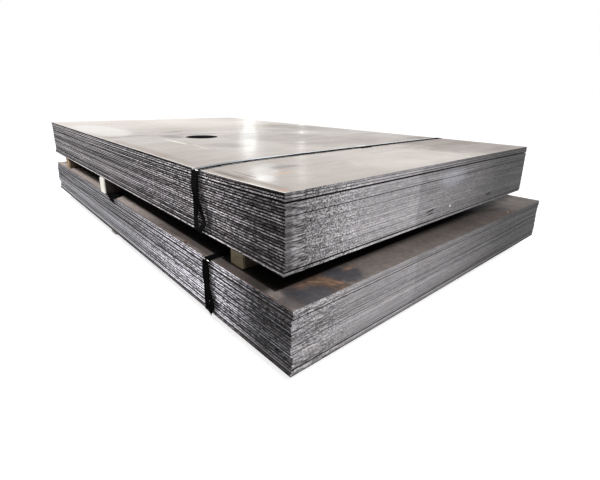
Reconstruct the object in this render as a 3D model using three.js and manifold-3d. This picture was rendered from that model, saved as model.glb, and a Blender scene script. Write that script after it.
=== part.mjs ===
// Two packs of flat steel plate, one on the other, each bound by a steel strap.
// Sawn spacers part the packs and sawn bearers lift the stack off the floor.
// Millimetres. +X runs along the plates, +Y across them and +Z up.
// The origin is at the middle of the bearers' undersides, at floor level.

import * as THREE from 'three';
import { mergeVertices } from 'three/addons/utils/BufferGeometryUtils.js';
import Module from 'manifold-3d';

const wasm = await Module();
wasm.setup();

// ---------------------------------------------------------------- dimensions

const PLATE = 6.35;            // thickness of every plate
const SEAT = 0.3;              // clearance where one piece lies on another
const EDGE_BAND = 220;         // width of the long edge that the strap pulls down
const PLATE_STEPS = 12;        // bends along a plate

const STRAP_WIDTH = 31.75;
const STRAP_THICKNESS = 0.9;
const STRAP_CLEARANCE = 0.5;   // between the strap and the plates' outermost edges
const STRAP_RADIUS = 1.5;      // inside radius where the strap turns a corner

const SEAL = { length: 57, width: 38, wall: 0.9, notch: 2, notchSpan: 6, notchAt: 13 };

const TIMBER_HEIGHT = 67;
const TIMBER_ARRIS = 2;        // small chamfer left by the saw
const TIMBER_WANE = 9;         // rounded arris where the log's own surface shows

const LOWER_LENGTH = 2270;
const LOWER_WIDTH = 1402;
const UPPER_LENGTH = 2222;
const UPPER_WIDTH = 1219;
const UPPER_SETBACK_X = 27;    // the lower pack stands this far out at the near end
const UPPER_SETBACK_Y = 6;     // and this far out along the front

// Plates are numbered from the top of a pack. A gap is under the plate it is named by, and
// a stray plate lies that much further from the front. A strap's lean is how far along X it
// stands from strapAt, at the top and bottom of the front and at the back.
const LOWER_PACK = {
  name: 'lower',
  plates: 23,
  length: LOWER_LENGTH,
  width: LOWER_WIDTH,
  centreX: 0,
  centreY: 0,
  closeGap: 0.378,
  openGaps: { 3: 1.6, 8: 0.9, 16: 1.2, 20: 0.8, 22: 1.1 },
  dip: 2.4,
  wander: 2.6,
  slip: 1.3,
  strays: { 1: 6.5, 2: 6.5, 3: 5.5, 4: 3, 5: 1.5, 17: 4, 18: 4.5, 19: 4, 20: 2, 21: 1 },
  strapAt: 357,
  lean: { top: 4, bottom: 0, back: -3 },
};

const UPPER_PACK = {
  name: 'upper',
  plates: 25,
  length: UPPER_LENGTH,
  width: UPPER_WIDTH,
  centreX: (LOWER_LENGTH - UPPER_LENGTH) / 2 - UPPER_SETBACK_X,
  centreY: (UPPER_WIDTH - LOWER_WIDTH) / 2 + UPPER_SETBACK_Y,
  closeGap: 0.528,
  openGaps: { 1: 0.3, 2: 0.3, 3: 2.6, 10: 0.8, 18: 1.0, 21: 1.1, 24: 1.2 },
  dip: 8,
  wander: 0.8,
  slip: 1.1,
  strays: { 24: -2.5, 25: -5 },
  strapAt: 371,
  lean: { top: 13, bottom: 2, back: -10.7 },
};

// The top three plates of the upper pack are cut through by one round hole.
const HOLE = { plates: 3, diameter: 134, fromEnd: 1000, fromMiddle: -263 };

// A timber's place is from the upper pack's near end to its middle line, and from the
// front of the pack that its end shows under (front: positive is set back).
const SPACERS = [
  { name: 'spacer_near', fromEnd: 233, width: 58, front: 30, length: 1250 },
  { name: 'spacer_middle', fromEnd: 1253, width: 60, front: -9, length: 1250 },
  { name: 'spacer_far', fromEnd: 1990, width: 62, front: 8, length: 1250 },
];

const BEARERS = [
  { name: 'bearer_near', fromEnd: 233, width: 62, front: 55, length: 1361.5 },
  { name: 'bearer_middle', fromEnd: 1348, width: 62, front: 42, length: 1344 },
  { name: 'bearer_far', fromEnd: 1990, width: 62, front: 56, length: 1350 },
];

// Loose ends of strap that hang on the front. From and to are shares of the pack's height.
// A loose end drifts aside between two shares of its own length, and then part of it comes back.
const UPPER_TAIL = { from: 0.95, to: 0.02, drift: 50, bow: 5, twist: 0.31, steps: 18 };
const LOWER_TAIL = { from: 0.95, to: 0.02, drift: 26, bow: 4, twist: 0.25, steps: 18 };
const TAIL_TURN = { starts: 0.25, ends: 0.8, back: 0.4 };

const COLOURS = {
  plate: { color: 0x8f8a87, metalness: 0.85, roughness: 0.42 },
  strap: { color: 0x1a1a1b, metalness: 0.6, roughness: 0.5 },
  timber: { color: 0xd8c4a0, metalness: 0, roughness: 0.8 },
};

// ------------------------------------------------------------------- levels

/** The gap under one plate of a pack, where nothing presses on it. */
function gapUnder(pack, number) {
  if (number === pack.plates) return 0;
  return pack.openGaps[number] ?? pack.closeGap;
}

/** The sum of the gaps from a plate down to the bottom of its pack. */
function slackUnder(pack, number) {
  let slack = 0;
  for (let each = number; each < pack.plates; each += 1) slack += gapUnder(pack, each);
  return slack;
}

/** How far the pack is drawn down at one point, as a share of its full dip. */
function drawShare(pack, x, y) {
  const fromNearEnd = pack.centreX + pack.length / 2 - x;
  const fromFront = y - (pack.centreY - pack.width / 2);
  const across = Math.max(0, 1 - fromFront / EDGE_BAND);
  const rise = THREE.MathUtils.clamp(fromNearEnd / pack.strapAt, 0, 1);
  const beyond = (fromNearEnd - pack.strapAt) / (pack.length - pack.strapAt);
  const fall = Math.pow(THREE.MathUtils.clamp(beyond, 0, 1), 1.2);
  return across * (Math.sin((rise * Math.PI) / 2) - fall);
}

/** The height of a plate's underside over the bottom of its pack. */
function undersideAt(pack, number, x, y) {
  const platesBelow = pack.plates - number;
  const squeeze = (pack.dip / slackUnder(pack, 1)) * drawShare(pack, x, y);
  return platesBelow * PLATE + slackUnder(pack, number) * (1 - squeeze);
}

/** The height of the pack's top face over its bottom, away from the strapped edge. */
function packHeight(pack) {
  return pack.plates * PLATE + slackUnder(pack, 1);
}

/** How far one plate lies out of line with its pack, along X and Y. */
function slipOf(pack, number) {
  const slow = pack.wander * Math.sin(number * 0.55);
  const stray = pack.strays[number] ?? 0;
  return {
    x: slow + pack.slip * Math.sin(number * 2.4 + 0.7),
    y: -0.6 * slow + pack.slip * Math.cos(number * 3.7) + stray,
  };
}

/** The furthest that any plate of a pack lies out of line to one side. */
function furthestSlip(pack, side) {
  let furthest = 0;
  for (let number = 1; number <= pack.plates; number += 1) {
    furthest = Math.max(furthest, side * slipOf(pack, number).y);
  }
  return furthest;
}

// ------------------------------------------------------------------- solids

/** Turns a closed geometry into a solid for a cut or a join. */
function toSolid(geometry) {
  const bare = geometry.clone();
  bare.deleteAttribute('normal');
  bare.deleteAttribute('uv');
  const merged = mergeVertices(bare, 1e-4);
  return new wasm.Manifold(new wasm.Mesh({
    numProp: 3,
    vertProperties: new Float32Array(merged.attributes.position.array),
    triVerts: new Uint32Array(merged.index.array),
  }));
}

/** Turns a solid back into a geometry. */
function toGeometry(solid) {
  const { vertProperties, triVerts } = solid.getMesh();
  const geometry = new THREE.BufferGeometry();
  geometry.setAttribute('position', new THREE.BufferAttribute(vertProperties, 3));
  geometry.setIndex(new THREE.BufferAttribute(triVerts, 1));
  return geometry;
}

/** Moves every vertex of a geometry to where the given rule puts it. */
function reshape(geometry, rule) {
  const position = geometry.attributes.position;
  const point = new THREE.Vector3();
  for (let i = 0; i < position.count; i += 1) {
    point.fromBufferAttribute(position, i);
    rule(point);
    position.setXYZ(i, point.x, point.y, point.z);
  }
  return geometry;
}

/** Turns the diagonals of a box's underside to match its top, so that bent boxes nest. */
function matchDiagonals(box) {
  const underside = box.groups[5];
  const corners = box.index.array;
  for (let i = underside.start; i < underside.start + underside.count; i += 6) {
    const [a, b, d, , c] = corners.slice(i, i + 5);
    corners.set([a, b, c, a, c, d], i);
  }
  return box;
}

/** A flat plate, bent to lie on the plates below it: only its edges are out of line. */
function plateGeometry(pack, number) {
  const slip = slipOf(pack, number);
  const box = new THREE.BoxGeometry(pack.length, pack.width, PLATE, PLATE_STEPS, 2, 1);
  return reshape(matchDiagonals(box), (point) => {
    const onEnd = Math.abs(point.x) === pack.length / 2;
    const onSide = Math.abs(point.y) === pack.width / 2;
    if (!onSide) point.y = EDGE_BAND - pack.width / 2;
    point.x += pack.centreX + (onEnd ? slip.x : 0);
    point.y += pack.centreY + (onSide ? slip.y : 0);
    point.z += PLATE / 2 + undersideAt(pack, number, point.x, point.y);
  });
}

/** The round cutter for the hole in the top plates. */
function holeCutter() {
  const radius = HOLE.diameter / 2;
  const cutter = new THREE.CylinderGeometry(radius, radius, 4 * HOLE.plates * PLATE, 40);
  cutter.rotateX(Math.PI / 2);
  const nearEnd = UPPER_PACK.centreX + UPPER_PACK.length / 2;
  const y = UPPER_PACK.centreY + HOLE.fromMiddle;
  cutter.translate(nearEnd - HOLE.fromEnd, y, packHeight(UPPER_PACK));
  return toSolid(cutter);
}

/** The corners of a pack's cross-section at its strap, grown outwards. */
function strapCorners(pack, grow) {
  const x = pack.centreX + pack.length / 2 - pack.strapAt;
  const edge = pack.centreY - pack.width / 2;
  const front = edge - furthestSlip(pack, -1) - grow;
  const back = pack.centreY + pack.width / 2 + furthestSlip(pack, 1) + grow;
  const top = packHeight(pack) + grow;
  const dipped = PLATE + undersideAt(pack, 1, x, edge) + grow;
  return [
    new THREE.Vector2(front, -grow),
    new THREE.Vector2(back, -grow),
    new THREE.Vector2(back, top),
    new THREE.Vector2(edge + EDGE_BAND, top),
    new THREE.Vector2(front, dipped),
  ];
}

/** Draws a closed outline through the corners, each one rounded. */
function drawRounded(path, corners, radius) {
  corners.forEach((corner, i) => {
    const before = corners[(i + corners.length - 1) % corners.length];
    const after = corners[(i + 1) % corners.length];
    const enter = before.clone().sub(corner).setLength(radius).add(corner);
    const leave = after.clone().sub(corner).setLength(radius).add(corner);
    if (i === 0) path.moveTo(enter.x, enter.y);
    else path.lineTo(enter.x, enter.y);
    path.quadraticCurveTo(corner.x, corner.y, leave.x, leave.y);
  });
  path.closePath();
  return path;
}

/** How far along X a pack's strap stands from its nominal place, at one point of its loop. */
function leanAt(pack, y, z) {
  const { top, bottom, back } = pack.lean;
  const share = (pack.centreY + pack.width / 2 - y) / pack.width;
  const front = THREE.MathUtils.lerp(bottom, top, z / packHeight(pack));
  return THREE.MathUtils.lerp(back, front, share);
}

/** The closed band of strap around a pack. */
function bandGeometry(pack) {
  const outer = strapCorners(pack, STRAP_CLEARANCE + STRAP_THICKNESS);
  const inner = strapCorners(pack, STRAP_CLEARANCE);
  const section = drawRounded(new THREE.Shape(), outer, STRAP_RADIUS + STRAP_THICKNESS);
  section.holes.push(drawRounded(new THREE.Path(), inner, STRAP_RADIUS));
  const band = new THREE.ExtrudeGeometry(section, {
    depth: STRAP_WIDTH,
    bevelEnabled: false,
    curveSegments: 3,
  });
  const edge = pack.centreX + pack.length / 2 - pack.strapAt - STRAP_WIDTH / 2;
  return reshape(band, (point) => {
    const lean = leanAt(pack, point.x, point.y);
    point.set(edge + lean + point.z, point.x, point.y);
  });
}

/** The share of its drift that a loose end has at a share of its length. */
function asideAt(along) {
  const { starts, ends, back } = TAIL_TURN;
  const out = THREE.MathUtils.smoothstep(along, starts, ends);
  return out - back * THREE.MathUtils.smoothstep(along, ends, 1);
}

/** The strap's loose end, hanging in a twisted bow on the front of a pack. */
function tailGeometry(pack, tail) {
  const height = packHeight(pack);
  const middle = pack.centreX + pack.length / 2 - pack.strapAt;
  const face = pack.centreY - pack.width / 2 - furthestSlip(pack, -1) - STRAP_CLEARANCE;
  const strip = new THREE.BoxGeometry(STRAP_WIDTH - 2, STRAP_THICKNESS, 1, 1, 1, tail.steps);
  return reshape(strip, (point) => {
    const along = 0.5 - point.z;
    const bow = tail.bow * Math.sin(along * Math.PI);
    const drift = tail.drift * asideAt(along);
    const turn = tail.twist * along ** 2;
    const across = point.x;
    const lift = Math.max(bow, (STRAP_WIDTH / 2) * Math.sin(turn));
    point.z = height * THREE.MathUtils.lerp(tail.from, tail.to, along);
    point.x = middle + leanAt(pack, face, point.z) + drift + across * Math.cos(turn);
    point.y += face - STRAP_THICKNESS * 0.75 - lift - across * Math.sin(turn);
  });
}

/** A pack's strap: its band, with its loose end joined to it. */
function strapGeometry(pack, tail) {
  return toGeometry(toSolid(bandGeometry(pack)).add(toSolid(tailGeometry(pack, tail))));
}

/** A folded seal with two crimps in each side, seen from above as a notched plate. */
function sealGeometry() {
  const half = SEAL.width / 2;
  const end = SEAL.length / 2;
  const outline = new THREE.Shape();
  outline.moveTo(-half, -end);
  outline.lineTo(half, -end);
  for (const at of [-SEAL.notchAt, SEAL.notchAt]) {
    outline.lineTo(half, at - SEAL.notchSpan / 2);
    outline.lineTo(half - SEAL.notch, at);
    outline.lineTo(half, at + SEAL.notchSpan / 2);
  }
  outline.lineTo(half, end);
  outline.lineTo(-half, end);
  for (const at of [SEAL.notchAt, -SEAL.notchAt]) {
    outline.lineTo(-half, at + SEAL.notchSpan / 2);
    outline.lineTo(-half + SEAL.notch, at);
    outline.lineTo(-half, at - SEAL.notchSpan / 2);
  }
  const strapTop = STRAP_CLEARANCE + STRAP_THICKNESS + SEAT;
  const height = strapTop + SEAL.wall - SEAT;
  const body = new THREE.ExtrudeGeometry(outline, { depth: height, bevelEnabled: false });
  body.translate(0, 0, SEAT);
  const channel = new THREE.BoxGeometry(STRAP_WIDTH + 2 * SEAT, 2 * SEAL.length, 2 * strapTop);
  return toGeometry(toSolid(body).subtract(toSolid(channel)));
}

/** A sawn timber along Y, with small arrises and one waney edge. */
function timberGeometry(width, length) {
  const half = width / 2;
  const section = new THREE.Shape();
  section.moveTo(-half + TIMBER_ARRIS, 0);
  section.lineTo(half - TIMBER_ARRIS, 0);
  section.lineTo(half, TIMBER_ARRIS);
  section.lineTo(half, TIMBER_HEIGHT - TIMBER_ARRIS);
  section.lineTo(half - TIMBER_ARRIS, TIMBER_HEIGHT);
  section.lineTo(-half + TIMBER_WANE, TIMBER_HEIGHT);
  section.quadraticCurveTo(-half, TIMBER_HEIGHT, -half, TIMBER_HEIGHT - TIMBER_WANE);
  section.lineTo(-half, TIMBER_ARRIS);
  const timber = new THREE.ExtrudeGeometry(section, {
    depth: length,
    bevelEnabled: false,
    curveSegments: 4,
  });
  timber.rotateX(Math.PI / 2);
  return timber;
}

// --------------------------------------------------------------- the stack

const stack = new THREE.Group();
const lowerBottom = TIMBER_HEIGHT + SEAT;
const spacerBottom = lowerBottom + packHeight(LOWER_PACK) + SEAT;
const upperBottom = spacerBottom + TIMBER_HEIGHT + SEAT;
const upperNearEnd = UPPER_PACK.centreX + UPPER_LENGTH / 2;
const upperFront = UPPER_PACK.centreY - UPPER_WIDTH / 2;

/** Puts one named piece into the stack. */
function addPiece(name, geometry, finish, x = 0, y = 0, z = 0) {
  const piece = new THREE.Mesh(geometry, new THREE.MeshStandardMaterial(finish));
  piece.name = name;
  piece.position.set(x, y, z);
  stack.add(piece);
}

/** Adds a pack's plates, top plate first. */
function addPlates(pack, bottom, holedPlates) {
  for (let number = 1; number <= pack.plates; number += 1) {
    let geometry = plateGeometry(pack, number);
    if (number <= holedPlates) {
      geometry = toGeometry(toSolid(geometry).subtract(holeCutter()));
    }
    const name = `${pack.name}_plate_${String(number).padStart(2, '0')}`;
    addPiece(name, geometry, COLOURS.plate, 0, 0, bottom);
  }
}

/** Adds a pack's strap and the seal that closes it on the top face. */
function addStrap(pack, bottom, tail, sealFromMiddle) {
  const height = packHeight(pack);
  const y = pack.centreY + sealFromMiddle;
  const x = pack.centreX + pack.length / 2 - pack.strapAt + leanAt(pack, y, height);
  const seal = sealGeometry();
  seal.rotateZ(Math.atan((pack.lean.top - pack.lean.back) / pack.width));
  addPiece(`${pack.name}_strap`, strapGeometry(pack, tail), COLOURS.strap, 0, 0, bottom);
  addPiece(`${pack.name}_seal`, seal, COLOURS.strap, x, y, bottom + height);
}

/** Adds one timber, with its end set back from the front edge of the pack above it. */
function addTimber({ name, fromEnd, width, front, length }, edge, bottom) {
  const timber = timberGeometry(width, length);
  const back = edge + front + length;
  addPiece(name, timber, COLOURS.timber, upperNearEnd - fromEnd, back, bottom);
}

for (const bearer of BEARERS) addTimber(bearer, -LOWER_WIDTH / 2, 0);
addPlates(LOWER_PACK, lowerBottom, 0);
addStrap(LOWER_PACK, lowerBottom, LOWER_TAIL, 60);

for (const spacer of SPACERS) addTimber(spacer, upperFront, spacerBottom);
addPlates(UPPER_PACK, upperBottom, HOLE.plates);
addStrap(UPPER_PACK, upperBottom, UPPER_TAIL, 60);

export default stack;
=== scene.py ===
"""Two strapped packs of flat steel plate on sawn timber, dressed for a plain studio picture.

Every piece is built around the packed model, in its frame: metres, +X along the plates towards
their near end, +Y across them away from the front, +Z up, with the origin at floor level.
"""

import logging
import math
import random
from dataclasses import dataclass, field
from enum import Enum
from typing import Any, Callable, Iterable, Optional, Sequence, Union

import bmesh
import bpy
import numpy as np
from mathutils import Euler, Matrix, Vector


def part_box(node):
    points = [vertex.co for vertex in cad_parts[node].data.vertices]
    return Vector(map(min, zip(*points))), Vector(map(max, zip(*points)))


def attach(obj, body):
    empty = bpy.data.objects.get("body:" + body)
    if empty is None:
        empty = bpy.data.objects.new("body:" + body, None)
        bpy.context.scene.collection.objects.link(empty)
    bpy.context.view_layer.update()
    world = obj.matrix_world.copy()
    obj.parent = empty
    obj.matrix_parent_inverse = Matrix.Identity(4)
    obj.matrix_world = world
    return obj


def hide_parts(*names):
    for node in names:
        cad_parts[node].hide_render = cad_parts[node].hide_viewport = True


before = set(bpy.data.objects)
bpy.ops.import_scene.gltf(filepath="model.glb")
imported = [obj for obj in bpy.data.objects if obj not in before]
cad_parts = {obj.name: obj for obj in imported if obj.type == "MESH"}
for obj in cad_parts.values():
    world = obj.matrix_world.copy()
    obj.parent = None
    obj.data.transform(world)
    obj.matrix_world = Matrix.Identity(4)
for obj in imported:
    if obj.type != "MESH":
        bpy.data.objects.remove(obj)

LOG = logging.getLogger("plate_stack")
BODY = "root"
MM = 0.001
WHITE = (1.0, 1.0, 1.0)

Colour = Point = tuple[float, float, float]
Pair = tuple[float, float]
Number = Union[float, int, "Value"]
Chain = tuple[list[Vector], list[Vector], bool]


# ------------------------------------------------------------------ node trees


def operator(operation: str, meaning: str, swapped: bool = False) -> Callable[..., "Value"]:
    """Makes a method of Value that adds a Math node.

    Args:
        operation: What the node does.
        meaning: The method's description.
        swapped: Whether the value comes after the other operand.

    Returns:
        The method.
    """
    def method(value: "Value", *others: Number) -> "Value":
        operands = (*others, value) if swapped else (value, *others)
        return value.tree.math(operation, *operands)

    method.__doc__ = meaning
    return method


class Value:
    """A number, vector or colour that flows through a node tree, with plain arithmetic on it."""

    def __init__(self, tree: "Tree", socket: bpy.types.NodeSocket) -> None:
        """Keeps the tree and the socket that gives the value."""
        self.tree = tree
        self.socket = socket

    __add__ = __radd__ = operator("ADD", "This plus the other.")
    __sub__ = operator("SUBTRACT", "This minus the other.")
    __rsub__ = operator("SUBTRACT", "The other minus this.", swapped=True)
    __mul__ = __rmul__ = operator("MULTIPLY", "This times the other.")
    __truediv__ = operator("DIVIDE", "This over the other.")
    __rtruediv__ = operator("DIVIDE", "The other over this.", swapped=True)
    __pow__ = operator("POWER", "This to the power of the other.")
    above = operator("GREATER_THAN", "1 where this is greater than the other, and 0 elsewhere.")
    abs = operator("ABSOLUTE", "This without its sign.")
    sign = operator("SIGN", "-1, 0 or 1, as this is below, at or above zero.")
    sin = operator("SINE", "The sine of this angle in radians.")
    least = operator("MINIMUM", "The smaller of this and the other.")
    most = operator("MAXIMUM", "The greater of this and the other.")

    def within(self, low: Number = 0.0, high: Number = 1.0) -> "Value":
        """This, held between two limits."""
        return self.most(low).least(high)

    def ramp(self, low: Number, high: Number, start: Number = 0.0, end: Number = 1.0) -> "Value":
        """A smooth step from start to end as this goes from low to high.

        Args:
            low: Where the step begins.
            high: Where it ends. It may be below low, for a falling step.
            start: The value before the step.
            end: The value after it.

        Returns:
            The stepped value.
        """
        if not isinstance(low, Value) and not isinstance(high, Value) and high < low:
            low, high, start, end = high, low, end, start
        inputs = {0: self, 1: low, 2: high, 3: start, 4: end}
        return self.tree.value("ShaderNodeMapRange", inputs, interpolation_type="SMOOTHSTEP")


class Tree:
    """A shader or geometry node tree, with short ways to add to it."""

    def __init__(self, nodes: bpy.types.NodeTree) -> None:
        """Keeps the node tree that this adds to."""
        self.nodes = nodes
        self.given: dict[str, Value] = {}

    @classmethod
    def group(cls, name: str, kind: str, inputs: dict[str, str], outputs: dict[str, str]) -> "Tree":
        """Makes a node group with named inputs and outputs.

        Args:
            name: The group's name.
            kind: "Shader" or "Geometry".
            inputs: The names of the inputs, with commas between them, by the kind of their socket.
            outputs: The same for the outputs.

        Returns:
            The tree, with its inputs as values in given.
        """
        nodes = bpy.data.node_groups.new(name, f"{kind}NodeTree")
        for way, sockets in (("INPUT", inputs), ("OUTPUT", outputs)):
            for form, labels in sockets.items():
                for label in labels.split(", "):
                    nodes.interface.new_socket(name=label, in_out=way, socket_type=f"NodeSocket{form}")
        tree = cls(nodes)
        source = tree.node("NodeGroupInput")
        tree.given = {socket.name: Value(tree, socket) for socket in source.outputs if socket.name}
        return tree

    def node(self, kind: str, inputs: Optional[dict] = None, **settings: Any) -> bpy.types.Node:
        """Adds a node.

        Args:
            kind: The node's type.
            inputs: What feeds each input, by name or number: a value, or a constant.
            settings: The node's own properties.

        Returns:
            The new node.
        """
        node = self.nodes.nodes.new(kind)
        for name, setting in settings.items():
            setattr(node, name, setting)
        self.feed(node, inputs or {})
        return node

    def feed(self, node: bpy.types.Node, inputs: dict) -> None:
        """Feeds some inputs of a node.

        Args:
            node: The node.
            inputs: What feeds each input, by name or number: a value, or a constant.
        """
        for key, source in inputs.items():
            socket = node.inputs[key]
            if isinstance(source, Value):
                self.nodes.links.new(source.socket, socket)
            elif isinstance(source, tuple) and socket.type == "RGBA":
                socket.default_value = (*source, 1.0)
            else:
                socket.default_value = source

    def value(self, kind: str, inputs: Optional[dict] = None, output: Union[int, str] = 0,
              **settings: Any) -> Value:
        """Adds a node and returns one of its outputs as a value."""
        return Value(self, self.node(kind, inputs, **settings).outputs[output])

    def math(self, operation: str, *operands: Number) -> Value:
        """Adds a Math node that works on one or two numbers."""
        return self.value("ShaderNodeMath", dict(enumerate(operands)), operation=operation)

    def vectors(self, operation: str, *operands: Any) -> Value:
        """Adds a Vector Math node that works on up to three vectors."""
        return self.value("ShaderNodeVectorMath", dict(enumerate(operands)), operation=operation)

    def split(self, vector: Value) -> tuple[Value, Value, Value]:
        """The X, Y and Z of a vector."""
        node = self.node("ShaderNodeSeparateXYZ", {0: vector})
        return tuple(Value(self, socket) for socket in node.outputs)

    def vector(self, x: Number, y: Number, z: Number) -> Value:
        """A vector from its X, Y and Z."""
        return self.value("ShaderNodeCombineXYZ", {0: x, 1: y, 2: z})

    def noise(self, vector: Value, scale: Number = 1.0, detail: float = 2.0, seed: Number = 0.0,
              roughness: float = 0.5) -> Value:
        """Smooth noise, about 0.5 in the mean.

        Args:
            vector: Where it is read.
            scale: How many features there are to a unit.
            detail: How many finer octaves are added.
            seed: The fourth coordinate, which picks one pattern out of many.
            roughness: How strong the finer octaves are.

        Returns:
            The noise.
        """
        inputs = {"Vector": vector, "W": seed, "Scale": scale, "Detail": detail, "Roughness": roughness}
        return self.value("ShaderNodeTexNoise", inputs, noise_dimensions="4D")

    def mix(self, share: Number, first: Any, second: Any, blend: str = "MIX") -> Value:
        """A colour between two others, by a share from 0 to 1."""
        return self.value("ShaderNodeMix", {0: share, 6: first, 7: second}, output=2,
                          data_type="RGBA", blend_type=blend)

    def call(self, group: bpy.types.NodeTree, inputs: dict, output: Union[int, str] = 0) -> Value:
        """Places a shader node group and returns one of its outputs."""
        return self.value("ShaderNodeGroup", inputs, output, node_tree=group)

    def store(self, mesh: Value, name: str, amount: Value, **settings: Any) -> Value:
        """A mesh with a named number or vector on its points or faces, in a geometry tree."""
        inputs = {"Geometry": mesh, "Name": name, "Value": amount}
        return self.value("GeometryNodeStoreNamedAttribute", inputs, **settings)

    def paint(self, mesh: Value, finish: Value, where: Optional[Value] = None) -> Value:
        """Puts a material on a mesh in a geometry tree.

        Args:
            mesh: The mesh.
            finish: The material.
            where: The faces to put it on, which are otherwise all of them.

        Returns:
            The mesh with the material.
        """
        inputs = {"Geometry": mesh, "Material": finish}
        if where is not None:
            inputs["Selection"] = where
        return self.value("GeometryNodeSetMaterial", inputs)

    def finish(self, **results: Value) -> bpy.types.NodeTree:
        """Links the results to the outputs of a group and returns its node tree."""
        self.node("NodeGroupOutput", results)
        return self.nodes


# --------------------------------------------------------- shared shader groups


class SharedGroups:
    """The effects that more than one finish uses, each built once."""

    def __init__(self) -> None:
        """Builds the groups."""
        self.streaks = self._streaks()
        self.stain_and_light = self._stain_and_light()
        self.speckle = self._speckle()
        self.rust = self._rust()

    def _streaks(self) -> bpy.types.NodeTree:
        """Long fine streaks, as rolling and wiping leave them.

        Returns:
            A group whose Along and Across are streaks to a metre along X and across it.
        """
        inputs = {"Vector": "Vector", "Float": "Along, Across, Seed"}
        tree = Tree.group("streaks", "Shader", inputs, {"Float": "Streaks"})
        x, y, z = tree.split(tree.given["Vector"])
        across = tree.given["Across"]
        drawn = tree.vector(x * tree.given["Along"], y * across, z * across)
        noise = tree.noise(drawn, detail=6.0, seed=tree.given["Seed"], roughness=0.62)
        return tree.finish(Streaks=noise.ramp(0.3, 0.7))

    def _stain_and_light(self) -> bpy.types.NodeTree:
        """A patch with a ragged edge, lying flat on a face.

        Returns:
            A group whose Reach is the patch's half size along X and Y before it is turned about Z,
            Solid the share of it that is fully covered, and Hollow the share that is left clear in
            the middle.
        """
        inputs = {"Vector": "Vector, Centre, Reach, Turn", "Float": "Ragged, Solid, Hollow, Grain, Seed"}
        tree = Tree.group("stain_and_light", "Shader", inputs, {"Float": "Mask"})
        given = tree.given
        local = tree.vectors("SUBTRACT", given["Vector"], given["Centre"])
        turned = tree.value("ShaderNodeVectorRotate", {"Vector": local, "Rotation": given["Turn"]},
                            rotation_type="EULER_XYZ")
        x, y, _ = tree.split(tree.vectors("DIVIDE", turned, given["Reach"]))
        noise = tree.noise(given["Vector"], scale=given["Grain"], detail=5.0, seed=given["Seed"],
                           roughness=0.6)
        ragged = (x * x + y * y) ** 0.5 + (noise - 0.5) * given["Ragged"]
        hollow = given["Hollow"]
        inside = ragged.ramp(hollow - 0.12, hollow)
        return tree.finish(Mask=ragged.ramp(1.0, hollow.most(given["Solid"])) * inside)

    def _speckle(self) -> bpy.types.NodeTree:
        """Broken dashes and dots, as torn and sheared metal shows them.

        Returns:
            A group whose Length is a dash's length along X or Y and Height its height along Z, in
            metres.
        """
        inputs = {"Vector": "Vector", "Float": "Length, Height, Seed, Contrast"}
        tree = Tree.group("speckle", "Shader", inputs, {"Float": "Speckle"})
        given = tree.given
        x, y, z = tree.split(given["Vector"])
        drawn = tree.vector(x / given["Length"], y / given["Length"], z / given["Height"])
        noise = tree.noise(drawn, detail=3.0, seed=given["Seed"], roughness=0.65)
        return tree.finish(Speckle=((noise - 0.5) * given["Contrast"] + 0.5).within())

    def _rust(self) -> bpy.types.NodeTree:
        """Rust that is bright orange where it is thick and brown at its edges.

        Returns:
            A group whose Cover is about the share of the face that is rusted.
        """
        inputs = {"Vector": "Vector", "Float": "Seed, Cover"}
        tree = Tree.group("rust", "Shader", inputs, {"Color": "Colour", "Float": "Mask"})
        given = tree.given
        broad = tree.noise(given["Vector"], scale=9.0, detail=6.0, seed=given["Seed"], roughness=0.6)
        fine = tree.noise(given["Vector"], scale=140.0, detail=3.0, seed=given["Seed"])
        thick = (broad + (fine - 0.5) * 0.25 + given["Cover"] - 1.0).ramp(-0.06, 0.1)
        colour = tree.mix(thick, (0.12, 0.055, 0.03), (0.55, 0.22, 0.08))
        return tree.finish(Colour=colour, Mask=thick)


# -------------------------------------------------------------------- finishes


class Surface(Tree):
    """The tree of a new material, with its shader and the point's own place in the object."""

    def __init__(self, name: str, groups: Optional[SharedGroups] = None) -> None:
        """Makes the material.

        Args:
            name: The material's name.
            groups: The shared shader groups, where it needs them.
        """
        self.material = bpy.data.materials.new(name)
        self.material.use_nodes = True
        super().__init__(self.material.node_tree)
        self.shader = self.nodes.nodes["Principled BSDF"]
        self.groups = groups
        self.place = self.value("ShaderNodeTexCoord", output="Object")
        self.at = self.split(self.place)

    def attribute(self, name: str) -> Value:
        """A number that is stored on the mesh."""
        return self.value("ShaderNodeAttribute", output="Fac", attribute_name=name)

    def shaded(self, colour: Value, share: Value) -> Value:
        """A colour multiplied by a share."""
        return self.mix(1.0, colour, self.vector(share, share, share), "MULTIPLY")

    def streaks(self, pitch: Pair, seed: Value) -> Value:
        """Streaks, as many to a metre along X and across it as the pitch says."""
        inputs = {"Vector": self.place, "Along": pitch[0], "Across": pitch[1], "Seed": seed}
        return self.call(self.groups.streaks, inputs)

    def dashes(self, size: Pair, seed: Value, contrast: float) -> Value:
        """Light and dark dashes of one length and height in metres."""
        inputs = {"Vector": self.place, "Length": size[0], "Height": size[1], "Seed": seed}
        return self.call(self.groups.speckle, {**inputs, "Contrast": contrast})

    def bump(self, height: Value, depth: float, strength: float = 1.0) -> None:
        """Raises the surface by a height from 0 to 1, up to a depth in metres."""
        inputs = {"Height": height, "Distance": depth, "Strength": strength}
        self.feed(self.shader, {"Normal": self.value("ShaderNodeBump", inputs)})


@dataclass(frozen=True)
class PaintedLightFade:
    """A slow change along an axis: where it starts and ends, and the share that is left there."""

    axis: int
    start: float
    end: float
    share: float

    def amount(self, on: Surface) -> Value:
        """1 before the start, and the share after the end."""
        return on.at[self.axis].ramp(self.start, self.end, 1.0, self.share)


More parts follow.
